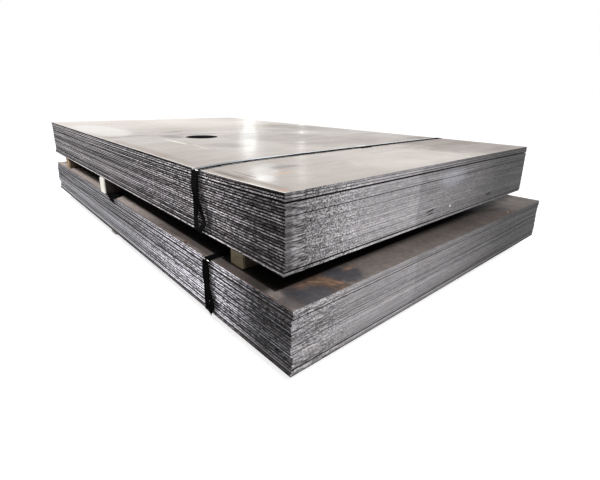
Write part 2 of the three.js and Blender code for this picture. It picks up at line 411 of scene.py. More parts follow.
@dataclass(frozen=True)
class StainAndPaintedLight:
    """A mark on a surface: its place and half size in metres, and its turn in degrees."""

    centre: Pair
    reach: Pair
    colour: Colour
    strength: float
    turn: float = 0.0
    ragged: float = 0.8
    grain: float = 14.0
    rough: float = 0.0
    solid: float = 0.35
    hollow: float = 0.0
    matte: float = 0.0

    def mask(self, on: Surface, flat: Value, seed: int) -> Value:
        """Finds where the mark is.

        Args:
            on: The surface.
            flat: The point's place on the face, in the first two parts of a vector.
            seed: What picks the mark's ragged shape.

        Returns:
            1 on the mark and 0 beside it.
        """
        return on.call(on.groups.stain_and_light, {
            "Vector": flat, "Centre": (*self.centre, 0.0), "Reach": (*self.reach, 1.0),
            "Turn": (0.0, 0.0, -math.radians(self.turn)), "Ragged": self.ragged,
            "Solid": self.solid, "Hollow": self.hollow, "Grain": self.grain, "Seed": float(seed)})


@dataclass(frozen=True)
class PackShadow:
    """The part of a face that lies under the pack above, where its dark scale is whole.

    Along and across are its two ends along X and along Y, where it crosses the other axis, and
    slope is how far its near and front ends drift to a metre.
    """

    along: Pair
    across: Pair
    slope: float
    soft: float
    share: float

    def amount(self, on: Surface) -> Value:
        """Finds the shelter.

        Args:
            on: The surface.

        Returns:
            1 outside the shelter, and the share inside it.
        """
        x, y, _ = on.at
        far, near = self.along
        front, back = self.across
        inside: Number = 1.0
        for end in (y + x * self.slope - front, back - y, x - far, near - x - y * self.slope):
            inside = end.ramp(-self.soft, self.soft) * inside
        return inside.ramp(0.0, 1.0, 1.0, self.share)


@dataclass(frozen=True)
class Finish:
    """A material with a name, which every kind of finish dresses in its own way."""

    name: str

    def build(self, groups: SharedGroups) -> bpy.types.Material:
        """Makes the material.

        Args:
            groups: The shared shader groups.

        Returns:
            The material.
        """
        on = Surface(self.name, groups)
        on.feed(on.shader, self.dress(on))
        return on.material

    def dress(self, on: Surface) -> dict[str, Any]:
        """Adds the finish's nodes.

        Args:
            on: The surface that it is put on.

        Returns:
            What feeds the shader's inputs, by name.
        """
        raise NotImplementedError


@dataclass(frozen=True)
class RolledFace(Finish):
    """The rolled face of a plate, with its scale, its streaks and its marks."""

    colour: Colour
    shade: Colour
    metallic: float
    rough: Pair
    stains_and_painted_light: tuple[StainAndPaintedLight, ...] = ()
    painted_light_fades: tuple[PaintedLightFade, ...] = ()
    rust: float = 0.0
    scuff: float = 0.25
    rims: Optional[tuple[Colour, Colour]] = None
    pack_shadow: Optional[PackShadow] = None
    shine: float = 0.5
    sheen: Colour = (1.0, 0.978, 0.955)
    mottle: float = 0.0
    streaks: Pair = (2.2, 26.0)
    wipes: Pair = (9.0, 11.0)
    relief: float = 0.12 * MM

    def dress(self, on: Surface) -> dict[str, Any]:
        """Lays the fades, the marks, the rust and the worn rims over the streaked scale.

        Args:
            on: The surface that it is put on.

        Returns:
            What feeds the shader's inputs, by name.
        """
        place, (x, y, _) = on.place, on.at
        flat = on.vector(x, y, 0.0)
        seed = on.attribute("seed")
        cloud = on.noise(place, scale=2.3, detail=4.0, seed=seed).ramp(0.3, 0.7)
        lines = on.streaks(self.streaks, seed)
        tone = (cloud * 0.35 + lines * 0.25 + on.streaks(self.wipes, seed + 5.0) * 0.4).within()
        colour = on.mix(tone, self.shade, self.colour)
        rough = tone.ramp(0.0, 1.0, self.rough[1], self.rough[0])
        metallic: Number = self.metallic
        # Painted light and shade along the face.
        for painted_light_fade in self.painted_light_fades:
            colour = on.shaded(colour, painted_light_fade.amount(on))
        # Stains and marks, and also painted highlights and reflections.
        for number, stain_and_light in enumerate(self.stains_and_painted_light):
            mask = stain_and_light.mask(on, flat, number)
            colour = on.mix(mask * stain_and_light.strength, colour, stain_and_light.colour)
            rough = rough + mask * stain_and_light.rough
            if stain_and_light.matte:
                metallic = metallic - mask * stain_and_light.matte
        if self.rust:
            rusted = {"Vector": place, "Seed": seed + 3.0, "Cover": self.rust}
            mask = on.call(on.groups.rust, rusted, "Mask")
            colour = on.mix(mask * 0.8, colour, on.call(on.groups.rust, rusted, "Colour"))
            rough = rough + mask * 0.3
        if self.mottle:
            spots = on.noise(place, scale=70.0, detail=6.0, seed=seed + 8.0, roughness=0.7)
            colour = on.shaded(colour, (spots - 0.5) * self.mottle + 1.0)
        # Worn rims; the top's bright front rim is partly a painted highlight on the rolled-over lip.
        if self.rims:
            worn = on.noise(place, scale=30.0, detail=3.0, seed=seed).ramp(0.2, 0.45)
            rim = on.mix(y.above(0.0), *self.rims)
            colour = on.mix(on.attribute("edge").ramp(0.0, 0.55) * worn, colour, rim)
        # Painted shadow of the pack above.
        if self.pack_shadow:
            colour = on.shaded(colour, self.pack_shadow.amount(on))
        grit = on.noise(place, scale=420.0, detail=2.0, seed=seed)
        on.bump(lines * 0.5 + grit * 0.5, self.relief, self.scuff)
        return {"Base Color": colour, "Roughness": rough.within(0.05, 1.0), "Metallic": metallic,
                "Specular IOR Level": self.shine, "Specular Tint": self.sheen}


@dataclass(frozen=True)
class Grain:
    """Light and dark dashes on a sheared edge, of one length and height in metres.

    Its amount is full between the rise and the fall, which are stretches along an axis, and only
    the rest of it is left beyond them.
    """

    size: Pair
    amount: float
    axis: int = 0
    rise: Optional[Pair] = None
    fall: Optional[Pair] = None
    rest: float = 0.2
    contrast: float = 5.0

    def light(self, on: Surface, seed: Value) -> Value:
        """Lays the dashes on an edge.

        Args:
            on: The edge's surface.
            seed: What picks their pattern.

        Returns:
            What the brightness is multiplied by, about 1 in the mean.
        """
        along = on.at[self.axis]
        amount: Number = 2.0 * self.amount
        if self.rise:
            amount = along.ramp(*self.rise, self.rest, 1.0) * amount
        if self.fall:
            amount = along.ramp(*self.fall, 1.0, self.rest) * amount
        return (on.dashes(self.size, seed, self.contrast) - 0.5) * amount + 1.0


@dataclass(frozen=True)
class ShearedEdge(Finish):
    """The sheared edge of a plate: a burnished band above torn metal, broken up by its grains.

    Band is the height share where the torn metal ends, and Brink the share where the rounded lip
    starts. Below a plate's own seam share the edge is in shadow.
    """

    light: Colour
    dark: Colour
    tint: Colour
    grains: tuple[Grain, ...]
    band: float
    wander: float
    brink: float
    lip: float
    torn: float
    spread: float
    depth: float
    metallic: float = 0.7
    rough: Pair = (0.38, 0.65)
    seams: Optional[PaintedLightFade] = None
    painted_light_fades: tuple[PaintedLightFade, ...] = ()
    marks: tuple[StainAndPaintedLight, ...] = ()
    soft: float = 0.06
    seam_soft: float = 0.08
    contrast: float = 3.4

    def dress(self, on: Surface) -> dict[str, Any]:
        """Breaks up the bright metal by its grains and seams, and adds the fades and the marks.

        Args:
            on: The surface that it is put on.

        Returns:
            What feeds the shader's inputs, by name.
        """
        seed = on.attribute("seed")
        grain: Number = 1.0
        for number, layer in enumerate(self.grains):
            grain = layer.light(on, seed + 9.0 * number) * grain
        light = (self._light(on, seed) * grain * self._seam(on)).within()
        colour = on.mix(light, self.dark, self.light)
        tinted = on.noise(on.place, scale=5.0, detail=4.0, seed=seed + 2.0).ramp(0.45, 0.75)
        colour = on.mix(tinted * 0.5, colour, self.tint, "SOFT_LIGHT")
        # Painted light and shade along the edge.
        for painted_light_fade in self.painted_light_fades:
            colour = on.shaded(colour, painted_light_fade.amount(on))
        flat = on.vector(*on.at[1:], 0.0)
        for number, mark in enumerate(self.marks):
            colour = on.mix(mark.mask(on, flat, number) * mark.strength, colour, mark.colour)
        on.bump((grain * 0.5).within(), self.depth)
        return {"Base Color": colour, "Specular IOR Level": 0.02,
                "Roughness": light.ramp(0.0, 1.0, self.rough[1], self.rough[0]),
                "Metallic": light.ramp(0.05, 0.5) * self.metallic}

    def _light(self, on: Surface, seed: Value) -> Value:
        """Lays the burnished band above the torn metal.

        Args:
            on: The edge's surface.
            seed: What picks where the band wanders.

        Returns:
            How bright the metal is, from 0 in the torn pits to 1 on the burnished band.
        """
        height = on.attribute("height")
        wander = on.dashes((0.05, 0.5), seed + 4.0, self.contrast)
        slow = on.dashes((0.35, 0.05), seed + 6.0, self.contrast)
        line = (wander - 0.5) * self.wander + self.band
        below_lip = height.ramp(self.brink, self.brink - self.soft)
        burnished = (height - line).ramp(-self.soft, self.soft) * below_lip
        light = burnished * self.lip + (1.0 - burnished) * self.torn
        uneven = (on.attribute("tone") - 0.5) + (slow - 0.5) * 0.6
        return light * (uneven * self.spread + 1.0)

    def _seam(self, on: Surface) -> Value:
        """Finds an open seam's shadow on the foot of the edge.

        Args:
            on: The edge's surface.

        Returns:
            0 in the shadow and 1 above it.
        """
        seam = on.attribute("seam")
        shadow = 1.0 - on.attribute("height").ramp(seam - self.seam_soft, seam)
        return 1.0 - (shadow * self.seams.amount(on) if self.seams else shadow)


@dataclass(frozen=True)
class StrapSteel(Finish):
    """Blackened strap steel, polished by wear where it lies flat on top, and rubbed bare in spots.

    Blacked is the stretch of its width beyond which it is still black, and begins and narrows are
    the stretches along Y over which the polish begins, and narrows to its far edge. Above the
    scraped stretch along Z it has more bare spots, of which the near half keeps the share
    near_wear. It is bare where it bends at two heights.
    """

    colour: Colour = (0.004, 0.004, 0.004)
    soot: Colour = (0.012, 0.012, 0.012)
    painted_reflection: Colour = (0.82, 0.87, 0.94)
    bare: Colour = (0.5, 0.48, 0.46)
    bend: Colour = (0.9, 0.88, 0.85)
    wear: float = 0.04
    near_wear: float = 1.0
    shine: float = 1.0
    shadowed_side: Pair = (-0.03, 0.07)
    begins: Pair = (-0.63, -0.46)
    narrows: Pair = (-0.5, -0.3)
    scraped: Pair = (0.437, 0.46)
    low_bend: Pair = (0.21, 0.235)
    high_bend: float = 0.45
    relief: float = 0.1 * MM

    def dress(self, on: Surface) -> dict[str, Any]:
        """Lays the polish, the bare bends and the rubbed spots over the black coat.

        Args:
            on: The surface that it is put on.

        Returns:
            What feeds the shader's inputs, by name.
        """
        _, y, z = on.at
        upward, aside = on.attribute("upward"), on.attribute("aside")
        far_side = aside.ramp(-0.1, 0.1, 1.0, self.near_wear)
        rubs = on.noise(on.place, scale=60.0, detail=6.0, roughness=0.7)
        rubbed = (rubs + z.ramp(*self.scraped) * 0.07).ramp(0.72 - self.wear, 0.8 - self.wear)
        rubbed = rubbed * far_side
        soot = on.noise(on.place, scale=14.0, detail=3.0, seed=2.0).ramp(0.3, 0.7)
        # Painted reflection on the flat top run, held to a stretch along Y, with the near side of the band
        # left black as painted shadow.
        reflection_mask = upward.ramp(0.85, 0.97) * soot.ramp(0.0, 1.0, 1.0, 0.75)
        aside = aside + y.ramp(*self.narrows, 0.0, 0.25)
        reflection_mask = reflection_mask * aside.ramp(*self.shadowed_side, 1.0, 0.0)
        reflection_mask = reflection_mask * y.ramp(*self.begins, 0.3, 1.0) * self.shine
        # Painted highlights where the strap bends over the pack's edges.
        low = z.above(self.low_bend[0]) * (1.0 - z.above(self.low_bend[1]))
        bend_highlight = upward.ramp(0.2, 0.4) * upward.ramp(0.97, 0.85) * rubs.ramp(0.4, 0.5)
        bend_highlight = bend_highlight * low.most(z.above(self.high_bend)) * far_side
        coat = on.mix(reflection_mask, on.mix(soot, self.colour, self.soot), self.painted_reflection)
        coat = on.mix(bend_highlight, coat, self.bend)
        on.bump(rubs, self.relief, 0.5)
        return {"Base Color": on.mix(rubbed * 0.7, coat, self.bare), "Specular IOR Level": 0.0,
                "Metallic": rubbed.most(reflection_mask).most(bend_highlight) * 0.95,
                "Roughness": soot.ramp(0.0, 1.0, 0.3, 0.5) - reflection_mask * 0.12}


@dataclass(frozen=True)
class SawnTimber(Finish):
    """Sawn softwood, with its growth rings, its rays of splits and its weathering."""

    early: Colour = (0.62, 0.45, 0.26)
    late: Colour = (0.36, 0.21, 0.1)
    grey: Colour = (0.17, 0.15, 0.095)
    fresh_and_sunlit: Colour = (1.0, 0.97, 0.88)
    tar: Colour = (0.012, 0.007, 0.004)
    rings: float = 260.0
    relief: float = 0.7 * MM

    def dress(self, on: Surface) -> dict[str, Any]:
        """Lays the weathering, the fresh wood and the tar over the rings and the fibres.

        Args:
            on: The surface that it is put on.

        Returns:
            What feeds the shader's inputs, by name.
        """
        log = on.value("ShaderNodeAttribute", output="Vector", attribute_name="log_place")
        age = on.attribute("age")
        x, y, z = on.split(log)
        wobble, fibre, blotch = (
            on.noise(on.vectors("MULTIPLY", log, stretch), detail=detail, seed=seed)
            for stretch, detail, seed in (((14.0, 2.2, 14.0), 3.0, 0.0), ((900.0, 26.0, 900.0), 3.0, 0.0),
                                          ((20.0, 5.0, 20.0), 4.0, 4.0)))
        radius = (x * x + z * z) ** 0.5 + wobble * 0.012
        ring = ((radius * self.rings).sin() * 0.5 + 0.5) ** 1.6
        wood = on.mix((ring * 0.75 + fibre * 0.35).within(), self.early, self.late)
        weather = (blotch + age - 0.5).ramp(0.25, 0.85)
        colour = on.mix(weather * 0.85, wood, self.grey)
        # Pale fresh wood where age is below 0, partly real and partly painted sunlight on the middle
        # spacer's end.
        colour = on.mix((0.0 - age).within() * 1.6, colour, self.fresh_and_sunlit)
        # Painted shade: the long faces are darkened almost to black, as the shade between the packs falls
        # on them; the ends are left.
        colour = on.mix(on.attribute("tar").ramp(0.4, 0.8), colour, self.tar)
        marks = (y * 620.0 + blotch * 9.0).sin() * 0.5 + 0.5
        on.bump(marks * 0.3 + fibre * 0.5 + ring * 0.2, self.relief)
        return {"Base Color": colour, "Roughness": fibre.ramp(0.2, 0.8, 0.7, 0.95)}


RUST = (0.5, 0.24, 0.115)
DULL_RUST = (0.25, 0.15, 0.11)
WARM_RUST = (0.35, 0.215, 0.15)
OLD_RUST = (0.2, 0.12, 0.08)
BLUE_SCALE = (0.085, 0.09, 0.108)
SOOT = (0.015, 0.014, 0.014)

TOP_FACE = RolledFace(
    name="bright_rolled_face", colour=(0.47, 0.42, 0.383), shade=(0.33, 0.29, 0.265), metallic=0.92,
    rough=(0.17, 0.32), streaks=(26.0, 2.2), wipes=(13.0, 5.0),
    # The bright front rim is partly a painted highlight, the rolled-over lip catching the light, and partly
    # wear; the back rim is dark brown.
    rims=((0.95, 0.88, 0.82), (0.2, 0.13, 0.1)),
    # Painted light and shade: the top is lighter towards the far end and from the middle of its width back,
    # and darker again near the back edge.
    painted_light_fades=(PaintedLightFade(0, -0.1, -0.7, 1.6), PaintedLightFade(1, 0.1, 0.42, 0.76), PaintedLightFade(1, -0.35, -0.05, 1.2)),
    stains_and_painted_light=(
        StainAndPaintedLight((0.98, 0.47), (0.42, 0.44), (0.13, 0.088, 0.068), 0.8, turn=8.0, ragged=1.1, grain=7.0,
              solid=0.6, matte=0.1, rough=0.08),
        StainAndPaintedLight((0.5, 0.05), (0.34, 0.36), (0.2, 0.165, 0.145), 0.7, turn=8.0, ragged=1.3, grain=7.0,
              rough=0.06),
        StainAndPaintedLight((-0.1, 0.36), (0.32, 0.2), (0.2, 0.16, 0.14), 0.7, turn=4.0, ragged=1.3, grain=7.0,
              rough=0.06),
        StainAndPaintedLight((1.02, -0.24), (0.11, 0.17), (0.7, 0.65, 0.59), 0.45, turn=-6.0, ragged=1.5, grain=9.0),
        # Painted highlight: the soft glow of a reflection near the near corner, in two patches.
        StainAndPaintedLight((0.912, -0.596), (0.15, 0.046), (0.85, 0.86, 0.87), 0.4, turn=-35.0, ragged=1.0),
        StainAndPaintedLight((0.966, -0.636), (0.055, 0.034), (0.95, 0.95, 0.96), 0.42, turn=-35.0, ragged=1.0),
        StainAndPaintedLight((0.93, -0.672), (0.22, 0.02), (0.17, 0.11, 0.085), 0.65, ragged=0.7, rough=0.05),
        StainAndPaintedLight((0.3, -0.675), (0.5, 0.026), (0.25, 0.17, 0.14), 0.5, ragged=0.8, rough=0.05),
        StainAndPaintedLight((0.87, -0.675), (0.1, 0.006), (0.05, 0.035, 0.03), 0.8, ragged=0.9, grain=40.0),
        StainAndPaintedLight((0.9, -0.648), (0.08, 0.005), (0.06, 0.045, 0.04), 0.7, ragged=0.9, grain=40.0),
        StainAndPaintedLight((1.085, -0.68), (0.018, 0.012), RUST, 0.65, ragged=1.4, grain=60.0),
        StainAndPaintedLight((0.948, -0.578), (0.014, 0.05), (0.62, 0.36, 0.2), 0.5, turn=-8.0, ragged=1.0),
        StainAndPaintedLight((0.9, -0.545), (0.01, 0.05), (0.5, 0.3, 0.18), 0.4, turn=-8.0, ragged=1.1),
        StainAndPaintedLight((0.885, -0.51), (0.024, 0.06), (0.1, 0.1, 0.11), 0.65, turn=-6.0, ragged=0.9),
        StainAndPaintedLight((-0.085, -0.57), (0.034, 0.14), (0.07, 0.055, 0.055), 0.8, turn=3.0, ragged=1.1, grain=22.0),
        StainAndPaintedLight((-0.16, -0.36), (0.03, 0.12), (0.08, 0.065, 0.065), 0.7, turn=28.0, ragged=1.1, grain=22.0),
        StainAndPaintedLight((-0.02, -0.4), (0.04, 0.18), (0.13, 0.11, 0.11), 0.7, turn=-4.0, ragged=1.2, grain=20.0),
        StainAndPaintedLight((0.22, -0.513), (0.12, 0.009), (0.9, 0.85, 0.8), 0.9, turn=1.0, ragged=0.4, solid=0.6),
        StainAndPaintedLight((0.4, -0.507), (0.1, 0.007), (0.85, 0.8, 0.75), 0.6, turn=-2.0, ragged=0.5),
        StainAndPaintedLight((0.0, -0.28), (0.05, 0.1), (0.09, 0.095, 0.11), 0.65, turn=12.0, ragged=1.3, grain=20.0),
        StainAndPaintedLight((0.42, -0.4), (0.12, 0.08), (0.15, 0.135, 0.125), 0.6, turn=10.0, ragged=0.9),
        # Painted reflection: the far left of the top is made lighter and less rough where it mirrors the
        # bright surroundings.
        StainAndPaintedLight((-0.45, -0.6), (0.42, 0.11), (0.8, 0.78, 0.76), 0.6, solid=0.6, rough=-0.1),
        StainAndPaintedLight((0.05, -0.445), (0.1, 0.06), (0.13, 0.135, 0.14), 0.6, ragged=1.1, rough=0.14),
        StainAndPaintedLight((0.22, -0.05), (0.3, 0.28), (0.25, 0.245, 0.24), 0.4, ragged=1.2, grain=8.0, rough=0.09),
        StainAndPaintedLight((0.05, 0.14), (0.14, 0.1), (0.2, 0.195, 0.19), 0.4, ragged=1.2, grain=9.0, rough=0.06),
        # Painted reflection: a long lighter, less rough streak where the top mirrors the wide strip light.
        StainAndPaintedLight((0.12, -0.115), (0.76, 0.052), (0.6, 0.6, 0.6), 0.4, turn=-34.0, ragged=0.4, solid=0.6,
              rough=-0.07),
    ),
)

LEDGE_FACE = RolledFace(
    name="scaled_rolled_face", colour=(0.32, 0.275, 0.252), shade=(0.2, 0.168, 0.155), metallic=0.1,
    rough=(0.45, 0.65), shine=0.15,
    # Painted light and shade: along X the ledge is darkened from the near end inwards and lightened again
    # towards the far end, and it is darker towards the back.
    painted_light_fades=(PaintedLightFade(0, 1.05, 1.015, 0.2), PaintedLightFade(0, 0.99, 0.88, 2.2), PaintedLightFade(0, 0.55, 0.1, 4.0),
           PaintedLightFade(1, -0.4, 0.3, 0.6)),
    mottle=1.3,
    rims=((0.17, 0.115, 0.1), (0.2, 0.13, 0.1)),
    # Painted shadow: the upper pack's shadow on the ledge, with a sharp edge.
    pack_shadow=PackShadow((-1.1, 1.0315), (-0.6515, 0.52), 0.0193, 0.004, 0.06),
    stains_and_painted_light=(
        StainAndPaintedLight((1.085, -0.555), (0.085, 0.05), OLD_RUST, 0.8, turn=12.0, ragged=1.1, grain=45.0),
        StainAndPaintedLight((1.062, -0.61), (0.022, 0.06), OLD_RUST, 0.6, turn=4.0, ragged=1.2, grain=50.0),
        StainAndPaintedLight((1.088, -0.485), (0.062, 0.066), BLUE_SCALE, 0.8, turn=-10.0, ragged=1.1, grain=40.0),
        StainAndPaintedLight((1.078, -0.645), (0.034, 0.028), BLUE_SCALE, 0.6, turn=20.0, ragged=1.1, grain=45.0),
        StainAndPaintedLight((1.128, -0.61), (0.08, 0.068), DULL_RUST, 0.7, ragged=0.6, grain=60.0, hollow=0.8),
        StainAndPaintedLight((1.128, -0.61), (0.068, 0.059), BLUE_SCALE, 0.75, ragged=0.8, solid=0.7, grain=45.0),
        StainAndPaintedLight((1.086, -0.648), (0.036, 0.026), BLUE_SCALE, 0.65, turn=50.0, ragged=1.2, grain=45.0),
        StainAndPaintedLight((1.105, -0.672), (0.056, 0.04), (0.11, 0.1, 0.1), 0.9, turn=40.0, ragged=1.0),
        StainAndPaintedLight((1.086, -0.538), (0.045, 0.011), WARM_RUST, 0.75, turn=24.0, ragged=1.3, grain=90.0),
        StainAndPaintedLight((1.11, -0.5285), (0.016, 0.007), (0.5, 0.29, 0.18), 0.65, turn=20.0, ragged=1.4, grain=110.0),
        StainAndPaintedLight((1.07, -0.567), (0.034, 0.006), (0.46, 0.3, 0.2), 0.75, turn=48.0, ragged=1.2, grain=90.0),
        StainAndPaintedLight((1.1, -0.549), (0.022, 0.007), (0.46, 0.3, 0.2), 0.7, turn=14.0, ragged=1.3, grain=110.0),
        StainAndPaintedLight((1.12, -0.549), (0.016, 0.008), SOOT, 0.5, turn=16.0, ragged=1.2, grain=90.0),
        StainAndPaintedLight((1.128, -0.541), (0.011, 0.012), WARM_RUST, 0.8, ragged=1.4, grain=90.0),
        StainAndPaintedLight((1.059, -0.607), (0.008, 0.012), WARM_RUST, 0.7, ragged=1.4, grain=110.0),
        StainAndPaintedLight((1.0675, -0.452), (0.012, 0.03), WARM_RUST, 0.65, ragged=1.3, grain=90.0),
        StainAndPaintedLight((1.0685, -0.455), (0.006, 0.014), (0.5, 0.31, 0.22), 0.65, ragged=1.2, grain=110.0),
        StainAndPaintedLight((1.02, 0.09), (0.02, 0.1), SOOT, 0.4, turn=-10.0, ragged=1.2, grain=20.0),
        StainAndPaintedLight((1.06, 0.36), (0.02, 0.13), SOOT, 0.5, turn=-14.0, ragged=1.2, grain=20.0),
        StainAndPaintedLight((1.12, 0.36), (0.02, 0.3), (0.15, 0.1, 0.078), 0.45, ragged=1.4, grain=30.0),
        # Painted light: a lit strip along the ledge's front edge, beside the painted shadow of the upper
        # pack.
        StainAndPaintedLight((0.6, -0.7), (0.3, 0.019), (0.42, 0.37, 0.34), 0.7, turn=1.0, ragged=0.8, grain=20.0),
        StainAndPaintedLight((0.632, -0.689), (0.016, 0.018), DULL_RUST, 0.75, turn=30.0, ragged=1.4, grain=90.0),
        StainAndPaintedLight((0.63, -0.688), (0.009, 0.008), SOOT, 0.9, turn=30.0, ragged=1.2, grain=90.0),
        StainAndPaintedLight((1.12, 0.409), (0.004, 0.004), (0.9, 0.85, 0.8), 1.0, ragged=0.2, solid=0.7),
        StainAndPaintedLight((1.066, -0.645), (0.026, 0.026), BLUE_SCALE, 0.6, ragged=1.1, grain=45.0),
        StainAndPaintedLight((1.056, -0.505), (0.024, 0.04), BLUE_SCALE, 0.65, turn=-12.0, ragged=1.1, grain=40.0),
        StainAndPaintedLight((1.122, -0.545), (0.014, 0.05), (0.13, 0.11, 0.1), 0.5, ragged=1.1, grain=45.0),
    ),
    rust=0.33,
)

INNER_FACE = RolledFace(
    name="plain_rolled_face", colour=(0.09, 0.08, 0.077), shade=(0.045, 0.04, 0.038), metallic=0.2,
    rough=(0.4, 0.6), shine=0.15, rust=0.34,
)

CUT_WALL = ShearedEdge(
    name="flame_cut_wall", light=(0.05, 0.048, 0.05), dark=(0.01, 0.009, 0.01),
    tint=(0.5, 0.42, 0.4),
    grains=(Grain((0.0015, 0.02), 0.8), Grain((0.004, 0.004), 0.4)),
    band=0.5, wander=0.2, brink=0.97, lip=0.3, torn=0.4, spread=0.2, depth=0.0004, metallic=0.2,
)

UPPER_SIDE = ShearedEdge(
    name="sheared_long_edge", light=(0.97, 0.915, 0.955), dark=(0.003, 0.0026, 0.003),
    tint=(0.5, 0.42, 0.44),
    grains=(
        Grain((0.012, 0.004), 0.7, rise=(-0.1, 0.65), rest=0.2),
        Grain((0.006, 0.0018), 0.65, rise=(0.0, 0.65), rest=0.2),
        Grain((0.5, 0.003), 0.25),
    ),
    band=0.5, wander=0.2, brink=0.98, lip=0.42, torn=0.01, spread=1.0, depth=0.0005,
    # Painted light and shade: the long side is darker at the near corner and a little darker beyond the
    # strap, and lighter towards the far end.
    painted_light_fades=(PaintedLightFade(0, 0.78, 1.04, 0.32), PaintedLightFade(0, 0.76, 0.68, 0.74), PaintedLightFade(0, 0.1, -0.1, 1.2)),
)

UPPER_END = ShearedEdge(
    name="sheared_end", light=(0.74, 0.715, 0.735), dark=(0.012, 0.011, 0.012),
    tint=(0.5, 0.46, 0.47),
    grains=(
        Grain((0.026, 0.0026), 0.9, 1, (-0.682, -0.674), (-0.65, -0.61), 0.12),
        Grain((0.0042, 0.0032), 0.75, 1, (-0.655, -0.64), (-0.56, -0.38), 0.18),
        Grain((0.35, 0.004), 0.18),
        Grain((0.014, 0.4), 0.09),
        Grain((0.07, 0.0045), 0.5, 1, None, (-0.676, -0.664), 0.0),
    ),
    band=0.1, wander=0.1, brink=1.2, lip=0.47, torn=0.34, spread=0.12, depth=0.0003,
    seams=PaintedLightFade(1, -0.3, 0.3, 0.6),
    # Painted light and shade: the end is darker at its front corner and much darker towards the back.
    painted_light_fades=(PaintedLightFade(1, -0.48, -0.66, 0.56), PaintedLightFade(1, -0.67, -0.682, 0.62),
           PaintedLightFade(1, -0.23, -0.215, 0.76), PaintedLightFade(1, -0.2, 0.36, 0.32)),
    marks=(
        StainAndPaintedLight((-0.04, 0.416), (0.1, 0.035), (0.5, 0.51, 0.57), 0.35, ragged=0.5),
        StainAndPaintedLight((-0.04, 0.3276), (0.006, 0.0045), (1.0, 0.95, 0.88), 1.0, turn=50.0, ragged=0.1),
        StainAndPaintedLight((-0.15, 0.332), (0.04, 0.0035), SOOT, 0.95, turn=6.0, ragged=1.0, grain=90.0),
        StainAndPaintedLight((-0.15, 0.322), (0.028, 0.003), SOOT, 0.9, turn=4.0, ragged=1.0, grain=90.0),
        StainAndPaintedLight((0.228, 0.325), (0.036, 0.0045), SOOT, 0.95, turn=5.0, ragged=1.0, grain=90.0),
    ),
)

LOWER_SIDE = ShearedEdge(
    name="bright_sheared_long_edge", light=(0.95, 0.93, 1.0), dark=(0.005, 0.0045, 0.005),
    tint=(0.5, 0.46, 0.46),
    grains=(
        Grain((0.014, 0.004), 0.65, rise=(-0.1, 0.5), rest=0.25),
        Grain((0.007, 0.0018), 0.65, rise=(0.1, 0.6), rest=0.25),
        Grain((0.5, 0.003), 0.2),
    ),
    band=0.48, wander=0.16, brink=0.98, lip=0.72, torn=0.03, spread=1.0, depth=0.0005,
    # Painted light and shade: the long side is darker towards the near corner and towards the far end, and
    # its lowest millimetre is near black, a painted shadow under the pack.
    painted_light_fades=(PaintedLightFade(0, 0.82, 1.03, 0.15), PaintedLightFade(0, 0.62, 0.15, 0.5), PaintedLightFade(2, 0.0733, 0.0722, 0.03)),
)

LOWER_END = ShearedEdge(
    name="brushed_sheared_end", light=(0.7, 0.68, 0.7), dark=(0.012, 0.011, 0.012),
    tint=(0.5, 0.43, 0.4),
    grains=(
        Grain((0.024, 0.0028), 0.6, 1, None, (-0.65, -0.52), 0.2),
        Grain((0.0045, 0.0032), 0.55, 1, None, (-0.6, -0.45), 0.12),
        Grain((0.5, 0.0035), 0.2),
        Grain((0.02, 0.4), 0.05),
    ),
    band=0.08, wander=0.1, brink=1.2, lip=0.42, torn=0.36, spread=0.16, depth=0.0003,
    seams=PaintedLightFade(1, -0.3, 0.3, 0.6),
    # Painted light and shade: the end is a little darker at its front corner and much darker towards the
    # back.
    painted_light_fades=(PaintedLightFade(1, -0.5, -0.66, 0.92), PaintedLightFade(1, -0.25, -0.235, 0.84), PaintedLightFade(1, -0.2, 0.42, 0.32)),
)


def build_finishes() -> dict[str, bpy.types.Material]:
    """Makes every material of the stack.

    Returns:
        The materials by their use.
    """
    groups = SharedGroups()
    finishes = {
        "upper_top": TOP_FACE, "lower_top": LEDGE_FACE, "inner_face": INNER_FACE,
        "hole": CUT_WALL, "upper_side": UPPER_SIDE, "upper_end": UPPER_END,
        "lower_side": LOWER_SIDE, "lower_end": LOWER_END,
        "strap": StrapSteel("blackened_strap"),
        # The lower strap and the flap get no painted reflection.
        "dull_strap": StrapSteel("dull_blackened_strap", soot=(0.006, 0.006, 0.006), shine=0.0),
        # The seal's white spots on its far half are partly wear and partly painted glints.
        "seal": StrapSteel("rubbed_seal", bare=WHITE, wear=0.3, near_wear=0.0),
        "timber": SawnTimber("sawn_softwood"),
    }
    return {use: finish.build(groups) for use, finish in finishes.items()}


# ---------------------------------------------------------------- making pieces


def link(name: str, data: Any) -> bpy.types.Object:
    """Adds an object to the scene.

    Args:
        name: The object's name.
        data: What it holds.

    Returns:
        The object.
    """
    thing = bpy.data.objects.new(name, data)
    bpy.context.scene.collection.objects.link(thing)
    return thing


def applied(thing: bpy.types.Object) -> bpy.types.Mesh:
    """A new mesh of an object with its modifiers applied."""
    graph = bpy.context.evaluated_depsgraph_get()
    return bpy.data.meshes.new_from_object(thing.evaluated_get(graph), depsgraph=graph)


def cast(name: str, shape: bmesh.types.BMesh, finish: bpy.types.Material) -> bpy.types.Object:
    """Adds an object that is made from a shape.

    Args:
        name: The name of the object and of its mesh.
        shape: The shape, which is freed.
        finish: The object's only material.

    Returns:
        The object.
    """
    mesh = bpy.data.meshes.new(name)
    shape.to_mesh(mesh)
    shape.free()
    mesh.materials.append(finish)
    return link(name, mesh)


